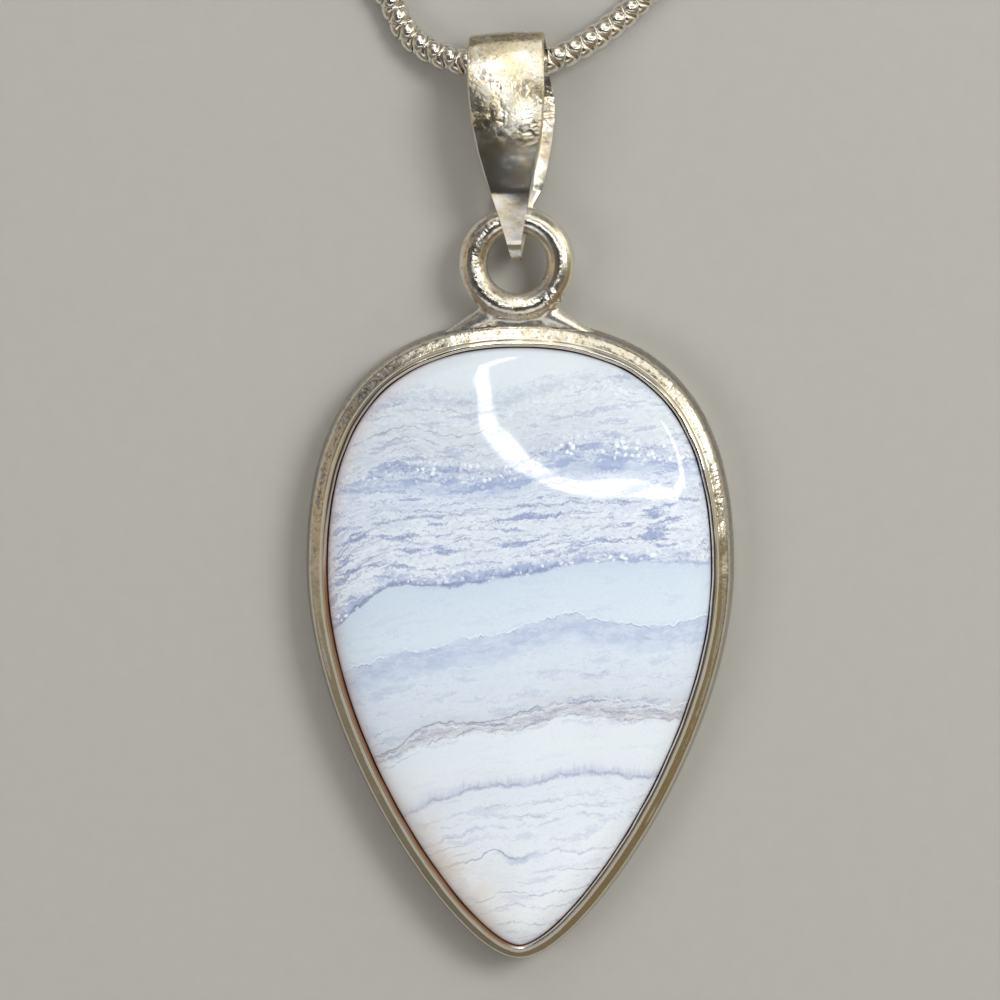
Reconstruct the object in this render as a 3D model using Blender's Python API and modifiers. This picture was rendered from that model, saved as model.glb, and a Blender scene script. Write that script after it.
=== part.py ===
"""Blue lace agate pendant: a teardrop stone in a silver bezel, with its bail and snake chain.

The pendant lies on its back. X runs to the right, Y from the point of the stone towards the bail,
and Z away from the back plate. The origin is on the flat back, in the middle of the stone.
"""
import math

import bmesh
import bpy
from mathutils import Matrix, Vector
from mathutils.geometry import interpolate_bezier

MM = 0.001
GAP = 0.30 * MM

# The stone's edge as it shows inside the lip: a round head that runs down to a point.
STONE_TOP = 17.70 * MM
STONE_TIP = -17.95 * MM
STONE_HALF_WIDTH = 11.40 * MM
WIDEST_Y = 4.35 * MM
HEAD_ROUNDNESS = 8.90 * MM
SHOULDER_ROUNDNESS = 7.80 * MM
FLANK_ROUNDNESS = 10.20 * MM
TIP_ROUNDNESS = 2.75 * MM
STEPS_A_QUARTER = 19

# The cut of the stone.
SEAT_Z = 1.10 * MM
GIRDLE_Z = 3.00 * MM
DOME_Z = 5.30 * MM
DOME_CENTRE_Y = 2.0 * MM
DOME_STEPS = 9

# The silver rim, measured outwards from the stone's edge.
RIM_AT_TOP = 1.50 * MM
RIM_AT_SIDE = 1.36 * MM
RIM_AT_TIP = 1.00 * MM
PLATE_THICKNESS = 0.80 * MM
LIP_Z = 3.40 * MM

# The hanging loop, a ring of round wire that lies in the plane of the pendant.
LOOP_X = -0.15 * MM
LOOP_Y = 22.60 * MM
LOOP_Z = 2.40 * MM
LOOP_RADIUS = 2.60 * MM
LOOP_WIRE = 0.85 * MM

# The bail, a tapered strip folded over the chain; U runs up it from the top wire of the loop.
BAIL_RISE = 10.90 * MM
BAIL_DROP = 2.50 * MM
BAIL_HALF_WIDTH = 2.25 * MM
BAIL_HALF_DEPTH = 2.20 * MM
BAIL_SHEET = 0.50 * MM
BAIL_LEAN = math.radians(2.6)
BAIL_ROLL = math.radians(-4.0)
BAIL_SHIFT = -0.12 * MM

# The snake chain and the coil that its spare length is wound into.
CHAIN_DIAMETER = 1.60 * MM
COIL_CENTRE = Vector((-4.9, 54.5, 0.0)) * MM
COIL_MEAN_RADIUS = 9.60 * MM
COIL_ENTRY = math.radians(217.4)
COIL_EXIT = math.radians(90)
COIL_WHOLE_TURNS = 6
COIL_LAYERS = 2
TURN_PITCH = 1.64 * MM
COIL_TURNS = COIL_WHOLE_TURNS + (COIL_ENTRY - COIL_EXIT) / math.tau
COIL_HALF_WIDTH = TURN_PITCH * COIL_TURNS / COIL_LAYERS / 2

# The end caps and what hangs on them.
CAP_RADIUS = 1.20 * MM
CAP_LENGTH = 3.60 * MM
CAP_Z = 1.25 * MM
EYE_RADIUS = 0.95 * MM
EYE_WIRE = 0.30 * MM
RING_RADIUS = 2.00 * MM
HOOK_EYE_RADIUS = 1.20 * MM
HOOK_BEND_RADIUS = 1.70 * MM
HOOK_LENGTH = 11.0 * MM
WIRE = 0.35 * MM

# The route of the chain outside the coil, from the ring's end cap through the bail to the coil.
CHAIN_ROUTE = [Vector(point) * MM for point in (
    (11.90, 44.00, 1.25), (10.60, 42.10, 1.10), (8.80, 39.90, 0.88), (7.06, 38.05, 0.84),
    (5.30, 36.50, 1.22), (3.50, 35.30, 1.85), (1.70, 34.52, 2.28), (-0.70, 34.30, 2.20),
    (-3.00, 34.34, 2.04), (-4.30, 34.70, 1.72), (-5.40, 35.20, 1.30), (-6.45, 35.95, 0.96),
    (-7.15, 36.95, 0.83), (-7.72, 38.14, 0.82), (-9.00, 40.20, 0.92), (-10.70, 42.35, 1.30),
    (-12.60, 44.75, 1.95), (-14.57, 47.12, 2.42))]


def clear_scene():
    """Removes everything that the file opened with."""
    for item in list(bpy.data.objects):
        bpy.data.objects.remove(item, do_unlink=True)


def collection(name):
    """Makes a collection in the scene."""
    made = bpy.data.collections.new(name)
    bpy.context.scene.collection.children.link(made)
    return made


def finish(name, colour, roughness, metallic):
    """Makes a Principled material."""
    made = bpy.data.materials.new(name)
    made.use_nodes = True
    shader = made.node_tree.nodes["Principled BSDF"]
    shader.inputs["Base Color"].default_value = (*colour, 1.0)
    shader.inputs["Roughness"].default_value = roughness
    shader.inputs["Metallic"].default_value = metallic
    made.diffuse_color = (*colour, 1.0)
    return made


def add(name, mesh, group, material):
    """Puts a mesh in the scene as a named object, with its faces pointing out."""
    work = bmesh.new()
    work.from_mesh(mesh)
    bmesh.ops.recalc_face_normals(work, faces=work.faces)
    work.to_mesh(mesh)
    work.free()
    item = bpy.data.objects.new(name, mesh)
    group.objects.link(item)
    mesh.materials.clear()
    mesh.materials.append(material)
    mesh.shade_smooth()
    mesh.set_sharp_from_angle(angle=math.radians(38))
    return item


def as_mesh(item):
    """Turns an evaluated object into a welded mesh in world space and removes the object."""
    bpy.context.view_layer.update()
    seen = item.evaluated_get(bpy.context.evaluated_depsgraph_get())
    mesh = bpy.data.meshes.new_from_object(seen)
    mesh.transform(item.matrix_world)
    bpy.data.objects.remove(item, do_unlink=True)
    work = bmesh.new()
    work.from_mesh(mesh)
    bmesh.ops.remove_doubles(work, verts=work.verts, dist=0.002 * MM)
    bmesh.ops.recalc_face_normals(work, faces=work.faces)
    work.to_mesh(mesh)
    work.free()
    return mesh


def combine(first, second, operation):
    """Joins, cuts or intersects two meshes with a Boolean and gives the result."""
    base = bpy.data.objects.new("base", first)
    tool = bpy.data.objects.new("tool", second)
    for item in (base, tool):
        CUTTERS.objects.link(item)
        item.hide_render = True
        item.display_type = "WIRE"
    boolean = base.modifiers.new("combine", "BOOLEAN")
    boolean.operation = operation
    boolean.solver = "EXACT"
    boolean.object = tool
    mesh = as_mesh(base)
    bpy.data.objects.remove(tool, do_unlink=True)
    return mesh


def rim_outline(outwards):
    """Gives the teardrop's points; outwards is 0 at the stone's edge and 1 at the foot of the rim."""
    quarters = (
        ((0, STONE_TOP), (-HEAD_ROUNDNESS, STONE_TOP),
         (-STONE_HALF_WIDTH, WIDEST_Y + SHOULDER_ROUNDNESS), (-STONE_HALF_WIDTH, WIDEST_Y)),
        ((-STONE_HALF_WIDTH, WIDEST_Y), (-STONE_HALF_WIDTH, WIDEST_Y - FLANK_ROUNDNESS),
         (-TIP_ROUNDNESS, STONE_TIP), (0, STONE_TIP)))
    left = []
    for corners in quarters:
        steps = interpolate_bezier(*[Vector((*corner, 0)) for corner in corners], STEPS_A_QUARTER + 1)
        left.extend(steps[:-1])
    left.append(Vector((0, STONE_TIP, 0)))
    right = [Vector((-point.x, point.y, 0)) for point in reversed(left[1:-1])]
    edge = left + right
    points = []
    for index, point in enumerate(edge):
        along = edge[(index + 1) % len(edge)] - edge[index - 1]
        normal = Vector((-along.y, along.x, 0)).normalized() * -1
        towards_end = RIM_AT_TOP - RIM_AT_SIDE if normal.y > 0 else RIM_AT_SIDE - RIM_AT_TIP
        points.append(point + normal * outwards * (RIM_AT_SIDE + towards_end * normal.y))
    return points


def loft(name, rings, group, material, pole=None, hollow=False):
    """Skins a stack of closed rings of equal count; the last ring closes on a pole, a cap or the first."""
    work = bmesh.new()
    rows = [[work.verts.new(point) for point in ring] for ring in rings]
    pairs = list(zip(rows, rows[1:]))
    if hollow:
        pairs.append((rows[-1], rows[0]))
    for low, high in pairs:
        for index in range(len(low)):
            after = (index + 1) % len(low)
            work.faces.new((low[index], low[after], high[after], high[index]))
    if not hollow:
        work.faces.new(reversed(rows[0]))
        if pole is None:
            work.faces.new(rows[-1])
        else:
            top = work.verts.new(pole)
            for index, corner in enumerate(rows[-1]):
                work.faces.new((corner, rows[-1][(index + 1) % len(rows[-1])], top))
    mesh = bpy.data.meshes.new(name)
    work.to_mesh(mesh)
    work.free()
    return add(name, mesh, group, material)


def at_height(points, height):
    """Lifts an outline to a height."""
    return [Vector((point.x, point.y, height)) for point in points]


def make_stone(group, material):
    """The agate: an upright girdle under the lip and a low dome above it, cut from one piece."""
    inside = -0.5 * GAP / RIM_AT_SIDE
    edge = rim_outline(inside)
    chamfer = 0.25 * MM
    centre = Vector((0, DOME_CENTRE_Y, 0))
    rings = [at_height(rim_outline(inside - chamfer / RIM_AT_SIDE), SEAT_Z),
             at_height(edge, SEAT_Z + chamfer)]
    for step in range(DOME_STEPS):
        turn = math.radians(90) * step / DOME_STEPS
        width = math.cos(turn) ** 0.85
        height = GIRDLE_Z + (DOME_Z - GIRDLE_Z) * math.sin(turn)
        rings.append([centre + (point - centre) * width + Vector((0, 0, height)) for point in edge])
    return loft("agate", rings, group, material, pole=centre + Vector((0, 0, DOME_Z)))


def make_bezel(group, material):
    """The collar: it rises from the plate, leans in over the girdle and ends in a thin rounded lip."""
    inside = 0.5 * GAP / RIM_AT_SIDE
    foot = PLATE_THICKNESS + GAP
    profile = [(1.00, foot), (1.00, foot + 0.35 * MM), (0.91, 1.95 * MM), (0.75, 2.45 * MM),
               (0.56, 2.88 * MM), (0.36, 3.22 * MM), (0.22, LIP_Z), (inside, LIP_Z - 0.08 * MM),
               (inside, foot)]
    rings = [at_height(rim_outline(outwards), height) for outwards, height in profile]
    return loft("bezel", rings, group, material, hollow=True)


def make_plate(group, material):
    """The back plate: sheet of the bezel's own outline, with its two edges eased."""
    ease = 0.12 * MM
    profile = [(1.0 - ease / RIM_AT_SIDE, 0), (1.0, ease), (1.0, PLATE_THICKNESS - ease),
               (1.0 - ease / RIM_AT_SIDE, PLATE_THICKNESS)]
    rings = [at_height(rim_outline(outwards), height) for outwards, height in profile]
    return loft("back_plate", rings, group, material)


def torus(radius, wire, turn, place, around=28, across=12):
    """Gives a ring of round wire as a mesh, turned and then moved to its place."""
    bpy.ops.mesh.primitive_torus_add(major_radius=radius, minor_radius=wire,
                                     major_segments=around, minor_segments=across)
    item = bpy.context.object
    item.matrix_world = Matrix.Translation(place) @ turn
    return as_mesh(item)


def make_loop(group, material):
    """The hanging loop and the solder that fills the corner between it and the bezel."""
    ring = torus(LOOP_RADIUS, LOOP_WIRE, Matrix.Identity(4), Vector((LOOP_X, LOOP_Y, LOOP_Z)), 32, 14)
    bpy.ops.mesh.primitive_uv_sphere_add(segments=20, ring_count=10, radius=1.0)
    solder = bpy.context.object
    solder.scale = Vector((2.35, 1.00, 0.95)) * MM
    solder.location = (LOOP_X + 0.15 * MM, STONE_TOP + 1.75 * MM, LOOP_Z - 0.20 * MM)
    whole = combine(ring, as_mesh(solder), "UNION")
    clear = 1.0 + GAP / RIM_AT_TOP
    profile = [(clear, 0), (clear, 1.50 * MM), (0.91 + GAP / RIM_AT_TOP, 2.05 * MM),
               (0.75 + GAP / RIM_AT_TOP, 2.60 * MM), (0.56 + GAP / RIM_AT_TOP, 3.10 * MM),
               (0.36, 3.80 * MM)]
    rings = [at_height(rim_outline(outwards), height) for outwards, height in profile]
    cutter = loft("bezel_clearance", rings, CUTTERS, material)
    return add("hanging_loop", combine(whole, as_mesh(cutter), "DIFFERENCE"), group, material)


def extruded(points, thickness):
    """Gives the mesh of a flat outline in XY, thickened evenly about its plane."""
    curve = bpy.data.curves.new("outline", "CURVE")
    curve.dimensions = "2D"
    curve.fill_mode = "BOTH"
    curve.extrude = thickness / 2
    for loop in points:
        spline = curve.splines.new("POLY")
        spline.points.add(len(loop) - 1)
        for target, point in zip(spline.points, loop):
            target.co = (point[0], point[1], 0, 1)
        spline.use_cyclic_u = True
    item = bpy.data.objects.new("outline", curve)
    CUTTERS.objects.link(item)
    return as_mesh(item)


def arc(centre, radii, first, last, steps):
    """Gives points of an elliptical arc between two angles in degrees."""
    turns = [math.radians(first + (last - first) * step / steps) for step in range(steps + 1)]
    return [(centre[0] + radii[0] * math.cos(turn), centre[1] + radii[1] * math.sin(turn)) for turn in turns]


def make_bail(group, material):
    """The bail: side shape and front shape, each extruded, share the volume of the folded strip."""
    fold = BAIL_RISE - BAIL_HALF_DEPTH
    inner = BAIL_HALF_DEPTH - BAIL_SHEET
    leg = [(1.4 * MM, 2.02 * MM), (0.2 * MM, 1.88 * MM), (-1.0 * MM, 1.42 * MM),
           (-1.9 * MM, 0.85 * MM), (0.15 * MM - BAIL_DROP, 0.32 * MM), (-BAIL_DROP, 0.0)]
    outside = arc((fold, 0), (BAIL_HALF_DEPTH, BAIL_HALF_DEPTH), -90, 90, 12) + leg
    outside += [(along, -depth) for along, depth in reversed(leg[:-1])]
    inside = arc((fold, 0), (inner, inner), -90, 90, 12)
    inside += arc((0, 0), (1.08 * MM, 1.20 * MM), 90, 270, 8)
    side = extruded((outside, inside), 4 * BAIL_HALF_WIDTH)
    side.transform(Matrix(((0, 0, 1, 0), (1, 0, 0, 0), (0, 1, 0, 0), (0, 0, 0, 1))))
    right = [(BAIL_HALF_WIDTH - 0.05 * MM, BAIL_RISE + 1 * MM), (BAIL_HALF_WIDTH, BAIL_RISE - 1.2 * MM),
             (BAIL_HALF_WIDTH - 0.03 * MM, 7.4 * MM), (2.10 * MM, 5.8 * MM), (1.80 * MM, 4.0 * MM),
             (1.48 * MM, 2.7 * MM), (1.18 * MM, 1.6 * MM), (0.76 * MM, 0.0), (0.54 * MM, -0.9 * MM),
             (0.32 * MM, -1.8 * MM), (0.14 * MM, -2.9 * MM)]
    front = right + [(-across, along) for across, along in reversed(right)]
    mesh = combine(side, extruded((front,), 4 * BAIL_HALF_DEPTH), "INTERSECT")
    wire = Vector((LOOP_X + BAIL_SHIFT, LOOP_Y + LOOP_RADIUS, LOOP_Z))
    item = add("bail", mesh, group, material)
    mesh.transform(Matrix.Rotation(BAIL_LEAN, 4, "Z") @ Matrix.Rotation(BAIL_ROLL, 4, "Y"))
    item.location = wire
    return item


def smooth_route(points, spacing):
    """Runs a smooth curve through the points and gives places on it about one spacing apart."""
    fine = []
    for index in range(len(points) - 1):
        here = points[index]
        there = points[index + 1]
        before = points[index - 1] if index else here * 2 - there
        after = points[index + 2] if index + 2 < len(points) else there * 2 - here
        fine.extend(interpolate_bezier(here, here + (there - before) / 6, there - (after - here) / 6,
                                       there, 24)[:-1])
    fine.append(points[-1])
    places = [fine[0]]
    travelled = 0.0
    for before, here in zip(fine, fine[1:]):
        travelled += (here - before).length
        if travelled >= spacing:
            places.append(here)
            travelled = 0.0
    return places


def wire_mesh(points, radius, sides=2):
    """Gives a round wire along the points, with closed ends, as a mesh."""
    curve = bpy.data.curves.new("wire", "CURVE")
    curve.dimensions = "3D"
    curve.bevel_depth = radius
    curve.bevel_resolution = sides
    curve.use_fill_caps = True
    spline = curve.splines.new("POLY")
    spline.points.add(len(points) - 1)
    for target, point in zip(spline.points, points):
        target.co = (*point, 1)
    item = bpy.data.objects.new("wire", curve)
    CUTTERS.objects.link(item)
    return as_mesh(item)


def make_chain(group, material):
    """The stretch of chain that isn't coiled: it stops short of the coil and of the ring's end cap."""
    half = CHAIN_DIAMETER / 2
    reach = COIL_MEAN_RADIUS + COIL_HALF_WIDTH + half
    flat_centre = Vector((COIL_CENTRE.x, COIL_CENTRE.y))
    places = [point for point in smooth_route(CHAIN_ROUTE, 0.7 * CHAIN_DIAMETER)
              if (Vector(point[:2]) - flat_centre).length > reach + half + GAP]
    heading = (places[1] - places[0]).normalized()
    places[0] = places[0] + heading * GAP
    return add("chain", wire_mesh(places, half), group, material)


def make_coil(group, material):
    """The outer shape of the coiled chain: a turned ring with eased corners."""
    half_width = COIL_HALF_WIDTH + CHAIN_DIAMETER / 2
    height = CHAIN_DIAMETER * COIL_LAYERS
    ease = 0.55 * MM
    outer = COIL_MEAN_RADIUS + half_width
    inner = COIL_MEAN_RADIUS - half_width
    profile = [(outer - ease, height), (outer, height - ease), (outer, ease), (outer - ease, 0),
               (inner + ease, 0), (inner, ease), (inner, height - ease), (inner + ease, height)]
    mesh = bpy.data.meshes.new("chain_coil")
    corners = [(radius, 0, z) for radius, z in profile]
    edges = [(index, (index + 1) % len(corners)) for index in range(len(corners))]
    mesh.from_pydata(corners, edges, [])
    item = bpy.data.objects.new("turned", mesh)
    CUTTERS.objects.link(item)
    screw = item.modifiers.new("turn", "SCREW")
    screw.steps = 44
    screw.render_steps = 44
    screw.use_merge_vertices = True
    screw.merge_threshold = 0.00001
    item.location = COIL_CENTRE
    return add("chain_coil", as_mesh(item), group, material)


def frame_at(point, heading, dip=0.0):
    """Gives the matrix of a place whose X looks along a level heading, dipped by an angle."""
    turn = math.atan2(heading.y, heading.x)
    return Matrix.Translation(point) @ Matrix.Rotation(turn, 4, "Z") @ Matrix.Rotation(dip, 4, "Y")


def make_cap(name, place, group, material):
    """An end cap: a turned barrel with a rounded end, and an upright eye on that end."""
    profile = [(0, 0), (CAP_RADIUS - 0.1 * MM, 0), (CAP_RADIUS, 0.12 * MM), (CAP_RADIUS, 2.6 * MM),
               (0.95 * MM, 3.2 * MM), (0.5 * MM, CAP_LENGTH), (0, CAP_LENGTH)]
    mesh = bpy.data.meshes.new(name)
    mesh.from_pydata([(radius, 0, -z) for radius, z in profile],
                     [(index, index + 1) for index in range(len(profile) - 1)], [])
    item = bpy.data.objects.new("turned", mesh)
    CUTTERS.objects.link(item)
    screw = item.modifiers.new("turn", "SCREW")
    screw.steps = 16
    screw.render_steps = 16
    screw.use_merge_vertices = True
    screw.merge_threshold = 0.00001
    item.matrix_world = Matrix.Rotation(math.radians(-90), 4, "Y")
    barrel = as_mesh(item)
    upright = Matrix.Rotation(math.radians(90), 4, "X")
    eye_place = Vector((CAP_LENGTH + EYE_RADIUS - EYE_WIRE, 0, 0))
    mesh = combine(barrel, torus(EYE_RADIUS, EYE_WIRE, upright, eye_place, 20, 8), "UNION")
    mesh.transform(place)
    return add(name, mesh, group, material)


def eye_of(place):
    """Gives the middle of the eye of a cap."""
    return place @ Vector((CAP_LENGTH + EYE_RADIUS - EYE_WIRE, 0, 0))


def make_end_ring(place, group, material):
    """The plain ring that the hook catches, hanging in the eye of its cap and touching the table."""
    dip = math.asin((CAP_Z - WIRE) / (2 * RING_RADIUS))
    level = frame_at(eye_of(place), place.to_3x3() @ Vector((1, 0, 0)), dip)
    mesh = torus(RING_RADIUS, WIRE, Matrix.Identity(4), Vector((RING_RADIUS, 0, 0)), 28, 8)
    mesh.transform(level)
    return add("end_ring", mesh, group, material)


def make_hook(place, group, material):
    """The hook: an eye, a straight shank and a bend that comes back beside it."""
    dip = math.asin((CAP_Z - WIRE) / HOOK_LENGTH)
    level = frame_at(eye_of(place), place.to_3x3() @ Vector((1, 0, 0)), dip)
    eye = torus(HOOK_EYE_RADIUS, WIRE, Matrix.Identity(4), Vector((HOOK_EYE_RADIUS, 0, 0)), 22, 8)
    bend = HOOK_LENGTH - HOOK_BEND_RADIUS
    points = [Vector((2 * HOOK_EYE_RADIUS, 0, 0)), Vector((bend, 0, 0))]
    points += [Vector((x, y, 0)) for x, y in arc((bend, -HOOK_BEND_RADIUS),
                                                 (HOOK_BEND_RADIUS, HOOK_BEND_RADIUS), 75, -90, 10)]
    points += [Vector((bend - 2.4 * MM, -1.80 * HOOK_BEND_RADIUS, 0)),
               Vector((bend - 3.5 * MM, -2.10 * HOOK_BEND_RADIUS, 0))]
    mesh = combine(eye, wire_mesh(points, WIRE), "UNION")
    mesh.transform(level)
    return add("hook", mesh, group, material)


clear_scene()
PARTS = collection("blue_lace_agate_pendant")
CUTTERS = collection("cutters")
STONE = finish("blue_lace_agate", (0.66, 0.70, 0.80), 0.12, 0.0)
SILVER = finish("polished_silver", (0.80, 0.79, 0.76), 0.18, 1.0)
CHAIN_SILVER = finish("chain_silver", (0.82, 0.82, 0.82), 0.22, 1.0)

make_stone(PARTS, STONE)
make_bezel(PARTS, SILVER)
make_plate(PARTS, SILVER)
make_loop(PARTS, SILVER)
make_bail(PARTS, SILVER)
make_chain(PARTS, CHAIN_SILVER)
make_coil(PARTS, CHAIN_SILVER)

ring_cap = frame_at(CHAIN_ROUTE[0], CHAIN_ROUTE[0] - CHAIN_ROUTE[1])
hook_cap = frame_at(COIL_CENTRE + Vector((8.2 * MM, COIL_MEAN_RADIUS + COIL_HALF_WIDTH, CAP_Z)),
                    Vector((1, 0, 0)))
make_cap("ring_end_cap", ring_cap, PARTS, CHAIN_SILVER)
make_end_ring(ring_cap, PARTS, CHAIN_SILVER)
make_cap("hook_end_cap", hook_cap, PARTS, CHAIN_SILVER)
make_hook(hook_cap, PARTS, CHAIN_SILVER)
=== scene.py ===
# %% [markdown]
# A blue lace agate pendant, lying on its back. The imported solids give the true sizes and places.
# This script gives them their looks: a banded stone, worn silver and a jointed snake chain.
# First comes the frame. Its box is kept, so that the finished model can be held against it.

# %% Load the frame
import math

import bmesh
import bpy
from mathutils import Matrix, Vector, noise
from mathutils.geometry import interpolate_bezier


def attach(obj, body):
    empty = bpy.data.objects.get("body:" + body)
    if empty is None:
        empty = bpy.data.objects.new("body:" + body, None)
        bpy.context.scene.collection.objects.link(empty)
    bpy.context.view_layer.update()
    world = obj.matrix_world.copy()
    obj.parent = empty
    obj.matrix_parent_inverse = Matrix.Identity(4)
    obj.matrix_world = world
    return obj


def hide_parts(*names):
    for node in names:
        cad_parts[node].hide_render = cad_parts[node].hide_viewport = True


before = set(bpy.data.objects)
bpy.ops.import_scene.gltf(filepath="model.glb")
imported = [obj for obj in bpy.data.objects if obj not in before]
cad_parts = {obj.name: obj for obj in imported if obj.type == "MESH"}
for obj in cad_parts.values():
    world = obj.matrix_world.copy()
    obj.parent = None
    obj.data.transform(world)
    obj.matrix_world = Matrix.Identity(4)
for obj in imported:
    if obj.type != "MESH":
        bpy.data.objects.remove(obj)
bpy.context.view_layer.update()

# %% [markdown]
# Jewellery is measured in millimetres and Blender works in metres, so one factor turns the first
# into the second. The stone's outline is a teardrop: two Bezier quarters a side. Every level of the
# silver rim is the same outline, moved outwards along its own normals, which keeps the rim's width
# even round the tight point, where a scaled copy would grow thin.

# %% The teardrop outline
MM = 0.001

STONE_TOP = 17.70
STONE_TIP = -17.95
STONE_HALF_WIDTH = 11.40
WIDEST_Y = 4.35
HEAD_ROUNDNESS = 8.90
SHOULDER_ROUNDNESS = 7.80
FLANK_ROUNDNESS = 10.20
TIP_ROUNDNESS = 2.75
RIM_AT_TOP = 1.50
RIM_AT_SIDE = 1.36
RIM_AT_TIP = 1.00


def teardrop(steps):
    """Gives points round the stone's edge in mm, with the outward normal at each."""
    top = Vector((0, STONE_TOP, 0))
    wide = Vector((-STONE_HALF_WIDTH, WIDEST_Y, 0))
    tip = Vector((0, STONE_TIP, 0))
    head = interpolate_bezier(top, top + Vector((-HEAD_ROUNDNESS, 0, 0)),
                              wide + Vector((0, SHOULDER_ROUNDNESS, 0)), wide, steps + 1)
    flank = interpolate_bezier(wide, wide - Vector((0, FLANK_ROUNDNESS, 0)),
                               tip - Vector((TIP_ROUNDNESS, 0, 0)), tip, steps + 1)
    left = head[:-1] + flank
    right = [Vector((-point.x, point.y, 0)) for point in reversed(left[1:-1])]
    edge = left + right
    normals = []
    for index in range(len(edge)):
        along = edge[(index + 1) % len(edge)] - edge[index - 1]
        normals.append(Vector((along.y, -along.x, 0)).normalized())
    return edge, normals


def rim(edge, normals, outwards):
    """Moves the outline out by a share of the rim's width: 0 is the stone's edge, 1 the foot."""
    moved = []
    for point, normal in zip(edge, normals):
        spread = RIM_AT_TOP - RIM_AT_SIDE if normal.y > 0 else RIM_AT_SIDE - RIM_AT_TIP
        moved.append(point + normal * outwards * (RIM_AT_SIDE + spread * normal.y))
    return moved


EDGE, NORMALS = teardrop(72)
print("points round the outline:", len(EDGE))

# %% [markdown]
# The photograph was taken from almost straight above. The camera stands 240 mm up, leaning a little
# towards the bail and to the right, so that the rim shows more of itself at the head than at the
# point. Its lens is set from the width that the frame takes in at the height of the lip.

# %% The camera
LIP_Z = 3.4
VIEW_WIDTH = 59.0
CAMERA_DISTANCE = 240.0
LEAN_TO_BAIL = math.radians(4.0)
LEAN_TO_RIGHT = math.radians(2.0)
VIEW_CENTRE = Vector((-1.12, 8.67, LIP_Z))
SENSOR = 36.0

away = Vector((math.sin(LEAN_TO_RIGHT), math.sin(LEAN_TO_BAIL), 0))
away.z = math.sqrt(1 - away.length_squared)
sideways = Vector((0, 1, 0)).cross(away).normalized()
upwards = away.cross(sideways)
lens = bpy.data.cameras.new("camera")
lens.sensor_width = SENSOR
lens.lens = SENSOR * CAMERA_DISTANCE / VIEW_WIDTH
lens.clip_start = 0.01
camera = bpy.data.objects.new("camera", lens)
turn = Matrix((sideways, upwards, away)).transposed().to_4x4()
camera.matrix_world = Matrix.Translation((VIEW_CENTRE + away * CAMERA_DISTANCE) * MM) @ turn
bpy.context.scene.collection.objects.link(camera)
bpy.context.scene.camera = camera
print("lens in mm:", round(lens.lens, 1))

# %% [markdown]
# A chain is a fixed length of something limp. It leaves the bail on both sides: one end is near,
# and the rest is wound into a neat coil of two layers, the upper one inwards and the lower one out
# again. The stretch outside the coil follows a given list of points. The coil is a loop
# over its turns, because a spiral is a rule.

# %% The chain's path
CHAIN_DIAMETER = 1.60
ROUTE = [Vector(point) for point in (
    (11.90, 44.00, 1.25), (10.60, 42.10, 1.10), (8.80, 39.90, 0.88), (7.06, 38.05, 0.84),
    (5.30, 36.50, 1.22), (3.50, 35.30, 1.85), (1.70, 34.52, 2.28), (-0.70, 34.30, 2.20),
    (-3.00, 34.34, 2.04), (-4.30, 34.70, 1.72), (-5.40, 35.20, 1.30), (-6.45, 35.95, 0.96),
    (-7.15, 36.95, 0.83), (-7.72, 38.14, 0.82), (-9.00, 40.20, 0.92), (-10.70, 42.35, 1.30),
    (-12.60, 44.75, 1.95), (-14.57, 47.12, 2.42))]
COIL_CENTRE = Vector((-4.9, 54.5, 0))
COIL_MEAN_RADIUS = 9.60
COIL_ENTRY = math.radians(217.4)
COIL_EXIT = math.radians(90)
COIL_TURNS = 6 + (COIL_ENTRY - COIL_EXIT) / math.tau
COIL_LAYERS = 2
TURN_PITCH = 1.64
COIL_HALF_WIDTH = TURN_PITCH * COIL_TURNS / COIL_LAYERS / 2
COIL_STEPS_PER_TURN = 120
TURNS_TO_CHANGE_LAYER = 0.7
UPPER_Z = 2.42
LOWER_Z = 0.82
CAP_Z = 1.25
HOOK_CAP = COIL_CENTRE + Vector((8.2, COIL_MEAN_RADIUS + COIL_HALF_WIDTH, CAP_Z))
STEP = 0.25


def smooth_line(points, steps=24):
    """Runs a smooth curve through points by giving each span the slope of its neighbours."""
    line = []
    for index in range(len(points) - 1):
        here = points[index]
        there = points[index + 1]
        before = points[index - 1] if index else here * 2 - there
        after = points[index + 2] if index + 2 < len(points) else there * 2 - here
        line.extend(interpolate_bezier(here, here + (there - before) / 6,
                                       there - (after - here) / 6, there, steps)[:-1])
    line.append(points[-1])
    return line


def even_line(points, step):
    """Gives places along a line, a step apart, from its first point to its last."""
    total = sum((there - here).length for here, there in zip(points, points[1:]))
    count = max(1, round(total / step))
    places = [points[0].copy()]
    travelled = 0.0
    for here, there in zip(points, points[1:]):
        span = (there - here).length
        while len(places) < count and travelled + span >= total / count * len(places):
            places.append(here.lerp(there, (total / count * len(places) - travelled) / span))
        travelled += span
    places.append(points[-1].copy())
    return places


def ease(value):
    """Turns 0 to 1 into a soft start and a soft stop."""
    value = min(max(value, 0.0), 1.0)
    return value * value * (3 - 2 * value)


def coil_points():
    """Winds the coil: inwards in the upper layer, down at the hole, outwards in the lower layer."""
    points = []
    steps = round(COIL_TURNS * COIL_STEPS_PER_TURN)
    for index in range(1, steps + 1):
        turns = COIL_TURNS * index / steps
        from_middle = turns - COIL_TURNS / 2
        radius = COIL_MEAN_RADIUS - COIL_HALF_WIDTH + TURN_PITCH * abs(from_middle)
        angle = COIL_ENTRY - turns * math.tau
        height = UPPER_Z + (LOWER_Z - UPPER_Z) * ease(from_middle / TURNS_TO_CHANGE_LAYER + 0.5)
        points.append(COIL_CENTRE + Vector((radius * math.cos(angle), radius * math.sin(angle), height)))
    return points


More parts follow.
